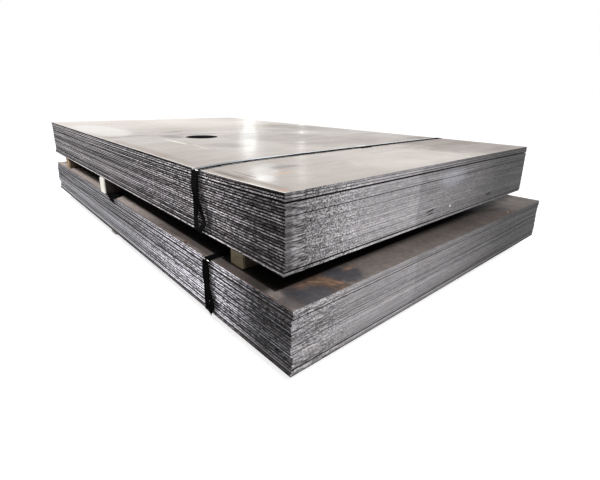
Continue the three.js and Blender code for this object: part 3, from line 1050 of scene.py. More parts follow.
def tube(rings: Sequence[Sequence[Point]]) -> bmesh.types.BMesh:
    """Makes a closed shape through rings of points.

    Args:
        rings: The rings, each of as many points as the others.

    Returns:
        The shape, with a cap on its first and its last ring.
    """
    shape = bmesh.new()
    loops = [[shape.verts.new(point) for point in ring] for ring in rings]
    for before, after in zip(loops, loops[1:]):
        for i in range(len(before)):
            shape.faces.new((before[i - 1], before[i], after[i], after[i - 1]))
    shape.faces.new(loops[0][::-1])
    shape.faces.new(loops[-1])
    bmesh.ops.recalc_face_normals(shape, faces=shape.faces)
    return shape


def run_tree(name: str, tree: bpy.types.NodeTree, inputs: dict[str, Any],
             base: Optional[bpy.types.Mesh] = None,
             cutters: Sequence[bpy.types.Object] = ()) -> bpy.types.Object:
    """Runs a geometry tree once and keeps its result as a plain mesh.

    Args:
        name: The name of the piece.
        tree: The geometry tree.
        inputs: What to set its named inputs to.
        base: The mesh that the tree starts from, where it needs one.
        cutters: Closed meshes to cut away from the result.

    Returns:
        An object at the origin that holds the result, with no modifier.
    """
    holder = link(f"{name}_holder", base or bpy.data.meshes.new(name))
    modifier = holder.modifiers.new("shape", "NODES")
    modifier.node_group = tree
    for item in tree.interface.items_tree:
        if item.in_out == "INPUT" and item.name in inputs:
            modifier[item.identifier] = inputs[item.name]
    for cutter in cutters:
        cut = holder.modifiers.new("cut", "BOOLEAN")
        cut.object = cutter
        cut.solver = "EXACT"
        cut.material_mode = "TRANSFER"
    mesh = applied(holder)
    bpy.data.objects.remove(holder)
    mesh.name = name
    return link(name, mesh)


def soften(mesh: bpy.types.Mesh, degrees: float = 40.0) -> None:
    """Shades a mesh smooth, except across sharp edges.

    Args:
        mesh: The mesh.
        degrees: By how much a sharp edge turns.
    """
    mesh.shade_smooth()
    shape = bmesh.new()
    shape.from_mesh(mesh)
    limit = math.radians(degrees)
    for edge in shape.edges:
        edge.smooth = len(edge.link_faces) == 2 and edge.calc_face_angle(0.0) < limit
    shape.to_mesh(mesh)
    shape.free()


def settle(piece: bpy.types.Object, slot: str, node: Optional[str] = None) -> None:
    """Puts a finished piece on the stack's body, in the place of its CAD node.

    Args:
        piece: The finished piece, at the origin.
        slot: The record's material slot.
        node: The CAD node that it stands for, if any.
    """
    soften(piece.data)
    if node is not None:
        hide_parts(node)
    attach(piece, BODY)
    LOG.info("%s: %d faces", piece.name, len(piece.data.polygons))


# ----------------------------------------------------------------- plate packs


class PackName(Enum):
    """The two packs, named by where they lie."""

    UPPER = "upper"
    LOWER = "lower"


class SprungPlateTree:
    """The geometry tree of one plate: flat stock with sheared edges, drawn down at the strap.

    The lip, the taper and the burr are kept to shares of the height. The pitches are features to a
    metre, and the ends are less ragged than the sides by a share.
    """

    LEVELS = 7
    LIP_FROM = 0.72
    TAPER_TO = 0.5
    BURR_TO = 0.3
    TEAR_PITCH = 45.0
    WAVE_PITCH = 3.5
    END_SHARE = 0.4
    INPUTS = {
        "Vector": "Size, Centre",
        "Int": "Stations, Rows",
        "Float": "Dip, Near end, Length, Strap at, Front, Edge band, Side lip, End lip, Side taper, "
                 "End taper, Burr, Rim row, Ragged, Wave, Seed, Tone, Seam",
        "Material": "Face, Side, End",
    }

    def build(self) -> bpy.types.NodeTree:
        """Builds the tree.

        Returns:
            The node tree. Size is the plate's length, width and thickness, and Centre is the middle
            of its underside where it lies flat.
        """
        tree = Tree.group("sprung_plate", "Geometry", self.INPUTS, {"Geometry": "Mesh"})
        self.tree = tree
        self.given = given = tree.given
        cube = tree.value("GeometryNodeMeshCube", {
            "Size": given["Size"], "Vertices X": given["Stations"], "Vertices Y": given["Rows"],
            "Vertices Z": self.LEVELS})
        capture = tree.node("GeometryNodeCaptureAttribute", domain="FACE")
        capture.capture_items.new("VECTOR", "Facing")
        tree.feed(capture, {"Geometry": cube, "Facing": tree.value("GeometryNodeInputNormal")})
        mesh = Value(tree, capture.outputs["Geometry"])
        facing_x, facing_y, _ = tree.split(Value(tree, capture.outputs["Facing"]))
        height, edge, place = self._shape()
        mesh = tree.store(mesh, "height", height)
        mesh = tree.store(mesh, "edge", edge)
        for name in ("Seed", "Tone", "Seam"):
            mesh = tree.store(mesh, name.lower(), given[name])
        mesh = tree.value("GeometryNodeSetPosition", {"Geometry": mesh, "Position": place})
        mesh = tree.value("GeometryNodeRealizeInstances", {0: mesh})
        mesh = tree.paint(mesh, given["Face"])
        mesh = tree.paint(mesh, given["Side"], facing_y.abs().above(0.5))
        mesh = tree.paint(mesh, given["End"], facing_x.abs().above(0.5))
        return tree.finish(Mesh=mesh)

    def _spread(self, share: Value, count: Value, half: Value) -> tuple[Value, Value]:
        """Spaces the rows of a side evenly, with one row close to each edge.

        Args:
            share: The row's place, from -1 to 1.
            count: How many rows there are.
            half: Half of the side's length.

        Returns:
            The row's place in metres, and 1 where it is the edge itself.
        """
        step = 2.0 / (count - 1.0)
        on_edge = share.abs().above(1.0 - step * 0.5)
        inner = (share / (1.0 - step)).within(-1.0, 1.0)
        rim = self.given["Rim row"]
        return inner * (half - rim) + share.sign() * on_edge * rim, on_edge

    def _shape(self) -> tuple[Value, Value, Value]:
        """Works out where every point of the plate goes.

        Returns:
            The point's height share, 1 where it is on a long edge, and its place.
        """
        tree, given = self.tree, self.given
        length, width, thickness = tree.split(given["Size"])
        x, y, z = tree.split(tree.value("GeometryNodeInputPosition"))
        level = z / thickness + 0.5
        height = 0.5 - ((level + 0.5) * math.pi).sin() * 0.5
        share_x, share_y = x / (length * 0.5), y / (width * 0.5)
        at_x, on_end = self._spread(share_x, given["Stations"], length * 0.5)
        at_y, on_side = self._spread(share_y, given["Rows"], width * 0.5)
        lip = ((height - self.LIP_FROM) / (1.0 - self.LIP_FROM)).within() ** 2.0
        taper = (1.0 - height / self.TAPER_TO).within()
        wave = tree.noise(tree.vector(at_x, at_y, 0.0), scale=self.WAVE_PITCH, detail=1.0,
                          seed=given["Seed"]) - 0.5
        torn = tree.noise(tree.vector(at_x * self.TEAR_PITCH, at_y * self.TEAR_PITCH, height * 2.0),
                          detail=3.0, seed=given["Seed"], roughness=0.6) * given["Ragged"]
        back_x = lip * given["End lip"] + taper * given["End taper"] + torn * self.END_SHARE
        back_y = lip * given["Side lip"] + taper * given["Side taper"] + torn
        centre_x, centre_y, underside = tree.split(given["Centre"])
        place_x = at_x - share_x.sign() * on_end * back_x + centre_x
        place_y = at_y - share_y.sign() * on_side * back_y + centre_y
        drawn = given["Dip"] * self._draw(place_x, place_y)
        burr = on_end * (1.0 - height / self.BURR_TO).within() * given["Burr"]
        place_z = underside + height * thickness - drawn + wave * given["Wave"] - burr
        return height, on_side, tree.vector(place_x, place_y, place_z)

    def _draw(self, x: Value, y: Value) -> Value:
        """Draws the plate down at the strap.

        Args:
            x: The point's place along the plate.
            y: Its place across it.

        Returns:
            How far the plate is drawn down at the point, as a share of its dip.
        """
        given = self.given
        from_end = given["Near end"] - x
        across = (1.0 - (y - given["Front"]) / given["Edge band"]).within() ** 2.0
        rise = (from_end / given["Strap at"]).within() * (math.pi / 2)
        beyond = (from_end - given["Strap at"]) / (given["Length"] - given["Strap at"])
        return across * (rise.sin() - beyond.within() ** 1.2)


SHARED_SIZES = ("near_end", "front", "edge_band", "side_lip", "end_lip", "side_taper", "end_taper",
                "ragged", "wave")


def cad_points(node: str) -> np.ndarray:
    """The points of a CAD node, one to a row."""
    return np.array([v.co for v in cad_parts[node].data.vertices])


@dataclass
class PlatePack:
    """A pack of plates, read from the CAD nodes and rebuilt with sheared edges.

    Plates are counted from the top. Seams are the shares of some plates' edges that an open seam
    below them leaves in shadow, and tones say how light some plates' edges are, about 0.5. A grid
    is how many rows of points a plate has along X and Y, and its rim row is the outermost one's
    distance from the next. Flush is how far each plate's ends go to the pack's mean, and a burr may
    fill its share of the gap below it.
    """

    name: PackName
    seed: int
    ragged: float
    seams: dict[int, float]
    tones: dict[int, float]
    side_lip: float = 1.1 * MM
    end_lip: float = 0.1 * MM
    side_taper: float = 0.9 * MM
    end_taper: float = 0.05 * MM
    burr: float = 0.45 * MM
    wave: float = 0.2 * MM
    gap_share: float = 0.8
    flush: float = 0.65
    seed_step: float = 3.7
    rim_row: float = 3.0 * MM
    top_rim_row: float = 6.0 * MM
    grid: tuple[int, int] = (58, 34)
    top_grid: tuple[int, int] = (110, 62)
    edge_band: float = 220 * MM

    def __post_init__(self) -> None:
        """Reads where the pack's plates and its seal are."""
        self.boxes = {n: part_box(n) for n in sorted(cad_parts)
                      if n.startswith(f"{self.name.value}_plate_")}
        lows, highs = zip(*self.boxes.values())
        self.front = min(low.y for low in lows)
        self.back = max(high.y for high in highs)
        self.near_end = sum(high.x for high in highs) / len(highs)
        self.far_end = sum(low.x for low in lows) / len(lows)
        self.bottom = min(low.z for low in lows)
        self.top = max(high.z for high in highs)
        seal_low, seal_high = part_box(f"{self.name.value}_seal")
        self.strap_x, self.seal_y, _ = (seal_low + seal_high) / 2
        self.dips = {n: self._measure_dip(n) for n in self.boxes}

    def _measure_dip(self, node: str) -> tuple[float, float, float]:
        """Measures a CAD plate.

        Args:
            node: The plate's CAD node.

        Returns:
            Its flat underside, how far its front edge dips below that, and its thickness.
        """
        points = cad_points(node)
        back = points[points[:, 1] > points[:, 1].max() - MM]
        front = points[points[:, 1] < points[:, 1].min() + MM]
        underside = back[:, 2].min()
        return underside, underside - front[:, 2].min(), back[:, 2].max() - underside

    def top_height(self, y: float) -> float:
        """Measures the pack's top face under its strap.

        Args:
            y: The place across the plates.

        Returns:
            The face's height there.
        """
        underside, dip, thickness = self.dips[min(self.dips)]
        across = min(1.0, max(0.0, 1.0 - (y - self.front) / self.edge_band)) ** 2
        return underside + thickness - dip * across

    def build(self, tree: bpy.types.NodeTree, finishes: dict[str, bpy.types.Material],
              cutters: dict[str, bpy.types.Object]) -> None:
        """Makes every plate of the pack.

        Args:
            tree: The geometry tree of a plate.
            finishes: The stack's materials, by their use.
            cutters: The cutter of each plate that has a hole, by its node.
        """
        chance = random.Random(self.seed)
        side, end = (finishes[f"{self.name.value}_{part}"] for part in ("side", "end"))
        for number, node in enumerate(self.boxes):
            first = number == 0
            stations, rows = self.top_grid if first else self.grid
            inputs = {
                **self._measures(node),
                "Burr": self._burr(number),
                "Rim row": self.top_rim_row if first else self.rim_row,
                "Stations": stations,
                "Rows": rows,
                "Seed": self.seed + number * self.seed_step,
                "Tone": self.tones.get(number + 1, chance.random()),
                "Seam": self.seams.get(number + 1, 0.0),
                "Face": finishes[f"{self.name.value}_top" if first else "inner_face"],
                "Side": side,
                "End": end,
            }
            holes = [cutters[node]] if node in cutters else []
            settle(run_tree(f"{node}_rolled", tree, inputs, cutters=holes), "plate_steel", node)

    def _burr(self, number: int) -> float:
        """Keeps a plate's burr clear of the plate below.

        Args:
            number: How many plates lie above it.

        Returns:
            How far its ends' burr hangs into the gap under it.
        """
        levels = list(self.dips.values())
        if number + 1 == len(levels):
            return 0.0
        underside, (below, _, thickness) = levels[number][0], levels[number + 1]
        return min(self.burr, self.gap_share * max(0.0, underside - below - thickness))

    def _measures(self, node: str) -> dict[str, Any]:
        """Finds what the plate tree needs to know of one plate.

        Args:
            node: The plate's CAD node.

        Returns:
            The inputs that come from its measures and its pack's, by name.
        """
        low, high = self.boxes[node]
        underside, dip, thickness = self.dips[node]
        near = high.x + (self.near_end - high.x) * self.flush
        far = low.x + (self.far_end - low.x) * self.flush
        return {
            "Size": (near - far, high.y - low.y, thickness),
            "Centre": ((near + far) / 2, (low.y + high.y) / 2, underside),
            "Dip": dip,
            "Length": self.near_end - self.far_end,
            "Strap at": self.near_end - self.strap_x,
            **{name.replace("_", " ").capitalize(): getattr(self, name) for name in SHARED_SIZES},
        }


@dataclass
class FlameCutHole:
    """The round hole that is flame-cut through the top plates of the upper pack.

    A CAD plate has points at so many even spans of its length, within a margin of its outline, and
    near the line where its edge band begins. All its other points are on the hole.
    """

    plates: int = 3
    sides: int = 96
    ragged: float = 0.5 * MM
    seed: int = 3
    spans: int = 12
    margin: float = 5 * MM
    off_line: float = 10 * MM

    def cutter(self, pack: PlatePack, finish: bpy.types.Material) -> dict[str, bpy.types.Object]:
        """Makes the cutter and says which plates it cuts.

        Args:
            pack: The pack that it cuts into.
            finish: The material of the hole's wall.

        Returns:
            The cutter, by the node of each plate that it cuts.
        """
        centre, radius = self._measure(min(pack.boxes), pack)
        cut = sorted(pack.boxes)[:self.plates]
        chance = random.Random(self.seed)
        rim = []
        for i in range(self.sides):
            turn = 2 * math.pi * i / self.sides
            reach = radius - self.ragged * chance.random()
            rim.append((centre.x + reach * math.cos(turn), centre.y + reach * math.sin(turn)))
        ends = (pack.boxes[cut[-1]][0].z - MM, pack.top + MM)
        cutter = cast("hole_cutter", tube([[(x, y, z) for x, y in rim] for z in ends]), finish)
        return dict.fromkeys(cut, cutter)

    def _measure(self, node: str, pack: PlatePack) -> tuple[Vector, float]:
        """Measures the hole by the points inside the outline of a CAD plate.

        Args:
            node: The plate's CAD node.
            pack: Its pack.

        Returns:
            The hole's centre and radius.
        """
        points = cad_points(node)
        low, high = pack.boxes[node]
        x, y, _ = points.T
        stations = (x - low.x) / ((high.x - low.x) / self.spans)
        inner = (y > low.y + self.margin) & (y < high.y - self.margin)
        inner &= (x > low.x + self.margin) & (x < high.x - self.margin)
        inner &= np.abs(y - (low.y + pack.edge_band)) > self.off_line
        inner &= np.abs(stations - np.round(stations)) > 0
        ring = points[inner]
        first, last = ring.min(0), ring.max(0)
        return Vector((first + last) / 2), float(last[0] - first[0]) / 2


# --------------------------------------------------------------- straps and seals


class StrapTree:
    """The geometry tree of a flat strap with rounded edges that follows a path."""

    INPUTS = {"Geometry": "Path", "Float": "Width, Thickness, Round", "Material": "Finish"}

    def build(self) -> bpy.types.NodeTree:
        """Builds the tree.

        Returns:
            The node tree. The path is a chain of edges whose points hold an across vector, which
            the strap's width follows.
        """
        tree = Tree.group("strap_on_path", "Geometry", self.INPUTS, {"Geometry": "Mesh"})
        given = tree.given
        curve = tree.value("GeometryNodeMeshToCurve", {0: given["Path"]})
        across = tree.value("GeometryNodeInputNamedAttribute", {"Name": "across"},
                            data_type="FLOAT_VECTOR")
        curve = tree.value("GeometryNodeSetCurveNormal", {"Curve": curve, "Normal": across},
                           mode="FREE")
        section = tree.value("GeometryNodeCurvePrimitiveQuadrilateral",
                             {"Width": given["Width"], "Height": given["Thickness"]})
        section = tree.value("GeometryNodeFilletCurve",
                             {"Curve": section, "Count": 3, "Radius": given["Round"]}, mode="POLY")
        aside, _, _ = tree.split(tree.value("GeometryNodeInputPosition"))
        section = tree.store(section, "aside", aside / given["Width"])
        mesh = tree.value("GeometryNodeCurveToMesh", {
            "Curve": curve, "Profile Curve": section, "Fill Caps": True})
        _, _, upward = tree.split(tree.value("GeometryNodeInputNormal"))
        mesh = tree.store(mesh, "upward", upward, domain="FACE")
        mesh = tree.value("GeometryNodeRealizeInstances", {0: mesh})
        return tree.finish(Mesh=tree.paint(mesh, given["Finish"]))


def smooth(value: float, low: float, high: float) -> float:
    """A smooth step from 0 to 1 as a value goes from low to high."""
    share = min(1.0, max(0.0, (value - low) / (high - low)))
    return share * share * (3.0 - 2.0 * share)


def way_across(turn: float) -> Vector:
    """The way across a strap that faces the front, after a turn about Z in radians."""
    return Vector((math.cos(turn), -math.sin(turn), 0))


def path_mesh(name: str, chains: Iterable[Chain]) -> bpy.types.Mesh:
    """Makes the chains of edges that a strap follows.

    Args:
        name: The mesh's name.
        chains: For each chain its points, the way across it at each point, and whether it closes.

    Returns:
        The mesh, with the across vectors as an attribute.
    """
    points, ways, edges = [], [], []
    for chain, across, closed in chains:
        start, count = len(points), len(chain)
        points += chain
        ways += across
        edges += [(start + i, start + i + 1) for i in range(count - 1)]
        if closed:
            edges.append((start + count - 1, start))
    mesh = bpy.data.meshes.new(name)
    mesh.from_pydata(points, edges, [])
    stored = mesh.attributes.new("across", "FLOAT_VECTOR", "POINT")
    stored.data.foreach_set("vector", np.array(ways, np.float32).ravel())
    return mesh


@dataclass(frozen=True)
class Lean:
    """How far a strap stands from its place at the seal, along X, at three corners of its loop."""

    top: float
    bottom: float
    back: float


@dataclass(frozen=True)
class Tail:
    """A strap's loose end, which hangs down the front beside its own band.

    Start and end are shares of the pack's height. Drift is towards the near end between two shares
    of the tail's own length, after which part of it comes back. Bow is away from the face.
    """

    drift: float
    bow: float
    twist: float
    start: float = 0.95
    end: float = 0.02
    drifts: Pair = (0.25, 0.8)
    back: float = 0.4
    points: int = 28

    def aside(self, along: float) -> float:
        """The share of its drift that the tail has at a share of its length."""
        return smooth(along, *self.drifts) - self.back * smooth(along, self.drifts[1], 1.0)


@dataclass
class Strap:
    """A steel strap round a pack, with its loose end.

    The band is turned on the front face, where its loose end pulls it off: the turn begins and is
    whole at two shares of the way down, and is gone again over the last share of it. The rounding
    of its edges and the loose end's stand-off are shares of its thickness.
    """

    pack: PlatePack
    tail: Tail
    lean: Lean
    width: float = 31.75 * MM
    thickness: float = 0.9 * MM
    clear: float = 0.35 * MM
    step: float = 12 * MM
    bend: float = 2.0 * MM
    bend_steps: int = 5
    front_steps: int = 14
    front_turn: float = 0.13
    rounding: float = 0.35
    stand_off: float = 0.75
    turns: Pair = (0.45, 0.8)
    unturns: float = 0.12

    def build(self, tree: bpy.types.NodeTree, finish: bpy.types.Material) -> None:
        """Makes the strap.

        Args:
            tree: The geometry tree of a strap.
            finish: The strap's material.
        """
        node = f"{self.pack.name.value}_strap"
        base = path_mesh(node, [self._band(), self._tail()])
        inputs = {"Width": self.width, "Thickness": self.thickness,
                  "Round": self.thickness * self.rounding, "Finish": finish}
        settle(run_tree(f"{node}_worn", tree, inputs, base), "strap_steel", node)

    def _band(self) -> Chain:
        """Leads the band round the pack's outline.

        Returns:
            Its closed chain.
        """
        pack = self.pack
        off = self.clear + self.thickness / 2
        front, back = pack.front - off, pack.back + off
        count = int(pack.edge_band / self.step)
        run = [pack.front + i * pack.edge_band / count for i in range(1, count + 1)]
        loop = [
            Vector((0, front, pack.top_height(pack.front) + off)),
            Vector((0, front, pack.bottom - off)),
            Vector((0, back, pack.bottom - off)),
            Vector((0, back, pack.top + off)),
        ]
        path: list[Vector] = []
        for i, corner in enumerate(loop):
            path += self._turn(loop[i - 1], corner, loop[(i + 1) % 4])
            if i == 0:
                shares = [(j + 1) / (self.front_steps + 1) for j in range(self.front_steps)]
                path += [corner.lerp(loop[1], share) for share in shares]
        path += [Vector((0, y, pack.top_height(y) + off)) for y in reversed(run)]
        ways = []
        for point in path:
            turn = self._front_turn(point, front)
            point.y -= self.width / 2 * math.sin(turn)
            point.x = self._place(point.y, point.z) - self.width / 2 * (1.0 - math.cos(turn))
            ways.append(way_across(turn))
        return path, ways, True

    def _front_turn(self, point: Vector, front: float) -> float:
        """Turns the band on its front run.

        Args:
            point: A point of the band.
            front: Where the front run is along Y.

        Returns:
            The turn at the point in radians, which is none beyond the front run.
        """
        if point.y > front + 0.01 * MM:
            return 0.0
        pack = self.pack
        down = (pack.top - point.z) / (pack.top - pack.bottom)
        return self.front_turn * smooth(down, *self.turns) * smooth(1.0 - down, 0.0, self.unturns)

    def _place(self, y: float, z: float) -> float:
        """Leans the band by the place round its loop.

        Args:
            y: The point's place along Y.
            z: Its height.

        Returns:
            Where the middle of the band is along X.
        """
        pack, lean = self.pack, self.lean
        share = (pack.back - y) / (pack.back - pack.front)
        up = (z - pack.bottom) / (pack.top - pack.bottom)
        front = lean.bottom + (lean.top - lean.bottom) * up
        return pack.strap_x + lean.back + (front - lean.back) * share

    def _turn(self, before: Vector, corner: Vector, after: Vector) -> list[Vector]:
        """Rounds one corner of the band.

        Args:
            before: The corner before it.
            corner: The corner.
            after: The corner after it.

        Returns:
            The points of the bend.
        """
        enter = corner + (before - corner).normalized() * self.bend
        leave = corner + (after - corner).normalized() * self.bend
        shares = [i / (self.bend_steps - 1) for i in range(self.bend_steps)]
        return [enter.lerp(corner, t).lerp(corner.lerp(leave, t), t) for t in shares]

    def _tail(self) -> Chain:
        """Leads the loose end down the front.

        Returns:
            Its open chain.
        """
        pack, tail = self.pack, self.tail
        face = pack.front - self.clear - self.thickness
        path, ways = [], []
        for i in range(tail.points):
            t = i / (tail.points - 1)
            turn = tail.twist * t * t
            bow = max(tail.bow * math.sin(t * math.pi), self.width / 2 * math.sin(turn))
            height = tail.start + (tail.end - tail.start) * t
            z = pack.bottom + (pack.top - pack.bottom) * height
            x = self._place(face, z) + tail.drift * tail.aside(t)
            path.append(Vector((x, face - self.thickness * self.stand_off - bow, z)))
            ways.append(way_across(turn))
        return path, ways, False


@dataclass(frozen=True)
class Flap:
    """A torn end of old strap that lies beside a spacer and hangs over the pack's front edge.

    Its hanging part is a curved claw: each corner is its place along X from the spacer's side and
    its drop below the pack's top face, in millimetres.
    """

    spacer: str = "spacer_middle"
    inward: float = 60.0 * MM
    outward: float = 1.6 * MM
    span: Pair = (2.0 * MM, 118.0 * MM)
    taper: float = 50.0 * MM
    left: tuple[Pair, ...] = ((38.0, 0.0), (52.0, 6.0), (72.0, 12.0), (93.0, 16.0), (122.0, 18.5))
    right: tuple[Pair, ...] = ((118.0, 0.0), (119.0, 4.0), (120.5, 9.0), (122.0, 14.0), (125.0, 18.0))
    thickness: float = 0.8 * MM

    def build(self, pack: PlatePack, finish: bpy.types.Material) -> None:
        """Makes the flap.

        Args:
            pack: The pack that it lies on.
            finish: The material of the strap.
        """
        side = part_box(self.spacer)[1].x
        front, top = pack.front - self.outward, pack.top + self.thickness
        left, right = side + self.span[0], side + self.span[1]
        # The flat part runs in under the upper pack, a dark sheet over the shade there.
        inner = pack.front + self.inward
        rows = [[(left, inner, top), (right - self.taper, inner, top)],
                [(left, front, top), (right, front, top)]]
        for ends in zip(self.left, self.right):
            rows.append([(side + x * MM, front, top - drop * MM) for x, drop in ends])
        shape = bmesh.new()
        rings = [[shape.verts.new(corner) for corner in row] for row in rows]
        for before, after in zip(rings, rings[1:]):
            shape.faces.new((*before, *after[::-1]))
        piece = cast("strap_flap", shape, finish)
        solid = piece.modifiers.new("thickness", "SOLIDIFY")
        solid.thickness, solid.offset = self.thickness, 0.0
        thick = applied(piece)
        piece.modifiers.clear()
        piece.data = thick
        settle(piece, "strap_steel")


@dataclass
class Seal:
    """A folded strap seal with two crimps in each side.

    At a crimp the sides are pressed in by the pinch and the top by the dent, over about the reach
    to both sides of it.
    """

    pack: PlatePack
    lean: Lean
    length: float = 57 * MM
    width: float = 37.6 * MM
    wall: float = 0.9 * MM
    inset: float = 2.6 * MM
    crimps: Pair = (-13 * MM, 13 * MM)
    pinch: float = 2.0 * MM
    dent: float = 0.5 * MM
    reach: float = 2.2 * MM
    steps: int = 58

    def build(self, finish: bpy.types.Material) -> None:
        """Makes the seal.

        Args:
            finish: The seal's material.
        """
        pack = self.pack
        node = f"{pack.name.value}_seal"
        low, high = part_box(node)
        slope = (self.lean.top - self.lean.back) / (pack.back - pack.front)
        rings = []
        for i in range(self.steps + 1):
            y = (i / self.steps - 0.5) * self.length
            rings.append([(pack.strap_x + across - y * slope, pack.seal_y + y + across * slope, z)
                          for across, z in self._section(y, low.z, high.z)])
        piece = cast(f"{node}_crimped", tube(rings), finish)
        mesh = piece.data
        aside = mesh.attributes.new("aside", "FLOAT", "POINT")
        aside.data.foreach_set("value", [
            (spot.co.x - pack.strap_x + (spot.co.y - pack.seal_y) * slope) / self.width
            for spot in mesh.vertices])
        upward = mesh.attributes.new("upward", "FLOAT", "FACE")
        upward.data.foreach_set("value", [face.normal.z for face in mesh.polygons])
        settle(piece, "strap_steel", node)

    def _section(self, y: float, bottom: float, top: float) -> list[Pair]:
        """Draws the seal's section at one place along it.

        Args:
            y: The place from the seal's middle.
            bottom: The height of the seal's foot.
            top: The height of its top.

        Returns:
            The section's points, each by how far across it lies and its height.
        """
        near = min(abs(y - crimp) for crimp in self.crimps)
        press = math.exp(-(near / self.reach) ** 2)
        half = self.width / 2 - self.pinch * press
        high = top - self.dent * press
        side = [(half - self.wall, high), (half, high - self.wall), (half, bottom),
                (half - self.wall, bottom), (self.width / 2 - self.inset, high - self.wall)]
        return [(-across, z) for across, z in side[2::-1]] + side + [
            (-across, z) for across, z in side[:2:-1]]


# --------------------------------------------------------------------- timbers


class TimberTree:
    """The geometry tree of a sawn timber, with worn arrises and one waney edge.

    The grid is how many rows of points it has along X, Y and Z, and the pitch how many rough spots
    there are to a metre along it. Its faces are uneven, and its ends ragged, by up to so much.
    """

    GRID = (11, 150, 11)
    PITCH = 22.0
    UNEVEN = 0.9 * MM
    RAGGED = 2.0 * MM
    INPUTS = {"Vector": "Low, Size, Pith", "Float": "Arris, Wane, Seed, Age, Tar", "Material": "Finish"}

    def build(self) -> bpy.types.NodeTree:
        """Builds the tree.

        Returns:
            The node tree. Low is the timber's lowest corner, and Pith the place of the middle of
            the log from the timber's own middle.
        """
        tree = Tree.group("sawn_timber", "Geometry", self.INPUTS, {"Geometry": "Mesh"})
        given = tree.given
        seed = given["Seed"]
        grid = {f"Vertices {axis}": count for axis, count in zip("XYZ", self.GRID)}
        mesh = tree.value("GeometryNodeMeshCube", {"Size": (2.0, 2.0, 2.0), **grid})
        x, y, z = tree.split(tree.value("GeometryNodeInputPosition"))
        width, length, height = tree.split(given["Size"])
        half_x, half_z = width * 0.5, height * 0.5
        across, up = (x * (math.pi / 2)).sin() * half_x, (z * (math.pi / 2)).sin() * half_z
        along = y * length * 0.5
        rough = tree.noise(tree.vector(x * 0.7, along * self.PITCH, z * 0.7), detail=3.0, seed=seed)
        waney = up.above(0.0) * (0.0 - across).above(0.0)
        radius = given["Arris"] * (rough + 0.4) + waney * given["Wane"] * (rough + 0.3)
        core_x = across.most(radius - half_x).least(half_x - radius)
        core_z = up.most(radius - half_z).least(half_z - radius)
        out_x, _, out_z = tree.split(tree.vectors(
            "NORMALIZE", tree.vector(across - core_x, 0.0, up - core_z)))
        round_by = radius - (rough * self.UNEVEN).within()
        end = y.abs().above(0.999)
        ragged = tree.noise(tree.vector(x * 3.0, y, z * 3.0), detail=3.0, seed=seed)
        local = tree.vector(core_x + out_x * round_by, along - y.sign() * end * ragged * self.RAGGED,
                            core_z + out_z * round_by)
        middle = tree.vectors("MULTIPLY_ADD", given["Size"], (0.5, 0.5, 0.5), given["Low"])
        mesh = tree.store(mesh, "log_place", tree.vectors("ADD", local, given["Pith"]),
                          data_type="FLOAT_VECTOR")
        mesh = tree.store(mesh, "age", given["Age"])
        # Painted shade for every face but the ends.
        mesh = tree.store(mesh, "tar", (1.0 - end) * given["Tar"])
        place = tree.vectors("ADD", local, middle)
        mesh = tree.value("GeometryNodeSetPosition", {"Geometry": mesh, "Position": place})
        mesh = tree.value("GeometryNodeRealizeInstances", {0: mesh})
        return tree.finish(Mesh=tree.paint(mesh, given["Finish"]))


@dataclass
class Timbers:
    """The spacers between the packs and the bearers under them, with their age and their tar."""

    seed: int = 21
    arris: float = 2.0 * MM
    wane: float = 9.0 * MM
    # Each timber's age, and the share of painted shade on its long faces; the middle spacer's pale fresh
    # wood also stands for sunlight on its end.
    looks: dict[str, Pair] = field(default_factory=lambda: {
        "spacer_near": (0.8, 0.68), "spacer_middle": (-0.65, 1.0), "spacer_far": (0.55, 0.68),
        "bearer_near": (0.5, 0.0), "bearer_middle": (-0.4, 0.0), "bearer_far": (0.5, 0.0),
    })

    def build(self, tree: bpy.types.NodeTree, finish: bpy.types.Material) -> None:
        """Makes every timber.

        Args:
            tree: The geometry tree of a timber.
            finish: The timber's material.
        """
        chance = random.Random(self.seed)
        for node, (age, tar) in self.looks.items():
            low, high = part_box(node)
            pith = (chance.uniform(-0.03, 0.03), chance.uniform(-9.0, 9.0),
                    chance.uniform(0.02, 0.07))
            inputs = {
                "Low": tuple(low), "Size": tuple(high - low), "Arris": self.arris,
                "Wane": self.wane, "Pith": pith, "Seed": chance.uniform(0.0, 50.0),
                "Age": age, "Tar": tar, "Finish": finish,
            }
            settle(run_tree(f"{node}_sawn", tree, inputs), f"{node.split('_')[0]}_timber", node)


# ---------------------------------------------------------------------- studio


COOL = (0.92, 0.99, 1.0)


@dataclass(frozen=True)
class SoftLight:
    """A soft rectangular light: its place, what it faces, its size in metres and its watts."""

    name: str
    place: Point
    target: Point
    size: Pair
    watts: float
    colour: Colour = WHITE

    def build(self) -> None:
        """Adds the light to the scene, out of the camera's sight."""
        lamp = bpy.data.lights.new(self.name, "AREA")
        lamp.shape = "RECTANGLE"
        lamp.size, lamp.size_y = self.size
        lamp.energy = self.watts
        lamp.color = self.colour
        holder = link(self.name, lamp)
        holder.location = self.place
        aim = Vector(self.target) - Vector(self.place)
        holder.rotation_euler = aim.to_track_quat("-Z", "Y").to_euler()
        holder.visible_camera = False


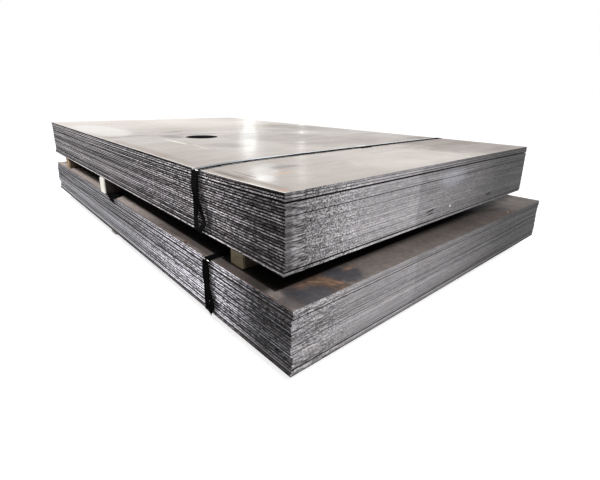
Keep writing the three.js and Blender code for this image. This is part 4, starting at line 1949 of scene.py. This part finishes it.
@dataclass
class Studio:
    """The camera, the pale floor, the white surroundings and the soft lights."""

    camera_place: Point = (1.66230, -1.14288, 0.64589)
    camera_turn: Point = (72.981, -0.936, 48.236)
    lens: float = 23.158
    shift: Pair = (-0.0084, -0.0440)
    clip: Pair = (0.01, 200.0)
    floor_size: float = 60.0
    floor_drop: float = 0.5 * MM
    floor_glow: float = 0.8
    floor_near: Pair = (1.9, 3.6)
    ambient: float = 0.05
    lights: tuple[SoftLight, ...] = (
        SoftLight("key", (2.85, -1.85, 2.2), (1.0, -0.6, 0.25), (0.6, 0.68), 50.0),
        SoftLight("overhead", (0.2, 0.3, 3.4), (0.0, 0.0, 0.3), (3.4, 3.4), 54.0),
        SoftLight("end_light", (1.95, -0.45, 1.35), (1.1, -0.42, 0.3), (0.4, 0.4), 4.5),
        SoftLight("side_light", (-0.9, -1.75, 2.3), (-0.5, -0.7, 0.3), (0.9, 0.2), 44.0),
        SoftLight("strip_wide", (-2.49, 1.64, 1.9), (0.6, -0.4, 0.5), (0.16, 3.4), 0.6, COOL),
        SoftLight("strip_halo", (-2.53, 1.67, 1.9), (0.6, -0.4, 0.5), (0.34, 3.4), 0.5, COOL),
        SoftLight("strip_narrow", (-2.1, 2.15, 1.9), (0.6, -0.4, 0.5), (0.05, 3.4), 0.45, COOL),
    )

    def build(self) -> None:
        """Makes the whole studio."""
        self._camera()
        self._floor()
        self._world()
        for light in self.lights:
            light.build()
        bpy.context.scene.view_settings.view_transform = "Standard"

    def _camera(self) -> None:
        """Places the camera."""
        data = bpy.data.cameras.new("camera")
        data.lens = self.lens
        data.sensor_fit = "HORIZONTAL"
        data.shift_x, data.shift_y = self.shift
        data.clip_start, data.clip_end = self.clip
        camera = link("camera", data)
        camera.location = self.camera_place
        camera.rotation_euler = Euler([math.radians(a) for a in self.camera_turn])
        bpy.context.scene.camera = camera

    def _floor(self) -> None:
        """Lays the pale floor, which looks white but keeps the stack's shadow."""
        on = Surface("pale_floor")
        x, y, _ = on.at
        glow = ((x * x + y * y) ** 0.5).ramp(*self.floor_near, self.floor_glow, 1.0)
        on.feed(on.shader, {
            "Base Color": (0.75, 0.75, 0.75), "Roughness": 0.9, "Specular IOR Level": 0.1,
            "Emission Color": WHITE, "Emission Strength": self._seen(on) * glow})
        shape = bmesh.new()
        bmesh.ops.create_grid(shape, x_segments=1, y_segments=1, size=self.floor_size / 2)
        floor = cast("floor", shape, on.material)
        floor.location.z = -self.floor_drop

    def _seen(self, tree: Tree) -> Value:
        """Tells what is looked at from what only gives light.

        Args:
            tree: The tree that needs to know.

        Returns:
            1 for what the camera sees, straight, in a reflection or through something.
        """
        rays = tree.node("ShaderNodeLightPath")
        straight, glossy, through = (Value(tree, rays.outputs[f"Is {ray} Ray"])
                                     for ray in ("Camera", "Glossy", "Transmission"))
        return straight.most(glossy).most(through)

    def _world(self) -> None:
        """Makes the surroundings: white to look at, and dimmer as light."""
        world = bpy.data.worlds.new("studio")
        bpy.context.scene.world = world
        world.use_nodes = True
        tree = Tree(world.node_tree)
        strength = self._seen(tree).ramp(0.0, 1.0, self.ambient, 1.0)
        tree.feed(world.node_tree.nodes["Background"], {"Color": WHITE, "Strength": strength})


# ------------------------------------------------------------------------ main


def main() -> None:
    """Builds the studio and every piece of the stack, and notes the sizes."""
    logging.basicConfig(level=logging.INFO, format="%(name)s: %(message)s")
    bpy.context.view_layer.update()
    Studio().build()
    finishes = build_finishes()
    plate_tree = SprungPlateTree().build()
    strap_tree = StrapTree().build()
    timber_tree = TimberTree().build()
    upper = PlatePack(PackName.UPPER, seed=11, ragged=0.5 * MM, tones={1: -0.3, 25: 1.2},
                      seams={1: 0.18, 2: 0.22, 3: 0.36, 7: 0.25, 24: 0.5})
    lower = PlatePack(PackName.LOWER, seed=47, ragged=0.6 * MM, tones={22: 1.5, 23: 0.1},
                      seams={3: 0.3, 21: 0.6, 23: 0.5})
    cutters = FlameCutHole().cutter(upper, finishes["hole"])
    upper.build(plate_tree, finishes, cutters)
    lower.build(plate_tree, finishes, {})
    for cutter in set(cutters.values()):
        bpy.data.objects.remove(cutter)
    upper_lean = Lean(top=13 * MM, bottom=2 * MM, back=-10.7 * MM)
    lower_lean = Lean(top=4 * MM, bottom=0.0, back=-3 * MM)
    upper_tail = Tail(drift=50 * MM, bow=4.5 * MM, twist=0.29)
    lower_tail = Tail(drift=30 * MM, bow=3.0 * MM, twist=0.21)
    Strap(upper, upper_tail, upper_lean).build(strap_tree, finishes["strap"])
    Strap(lower, lower_tail, lower_lean).build(strap_tree, finishes["dull_strap"])
    Flap().build(lower, finishes["dull_strap"])
    Seal(upper, upper_lean).build(finishes["seal"])
    Seal(lower, lower_lean).build(finishes["seal"])
    Timbers().build(timber_tree, finishes["timber"])


if __name__ == "__main__":
    main()
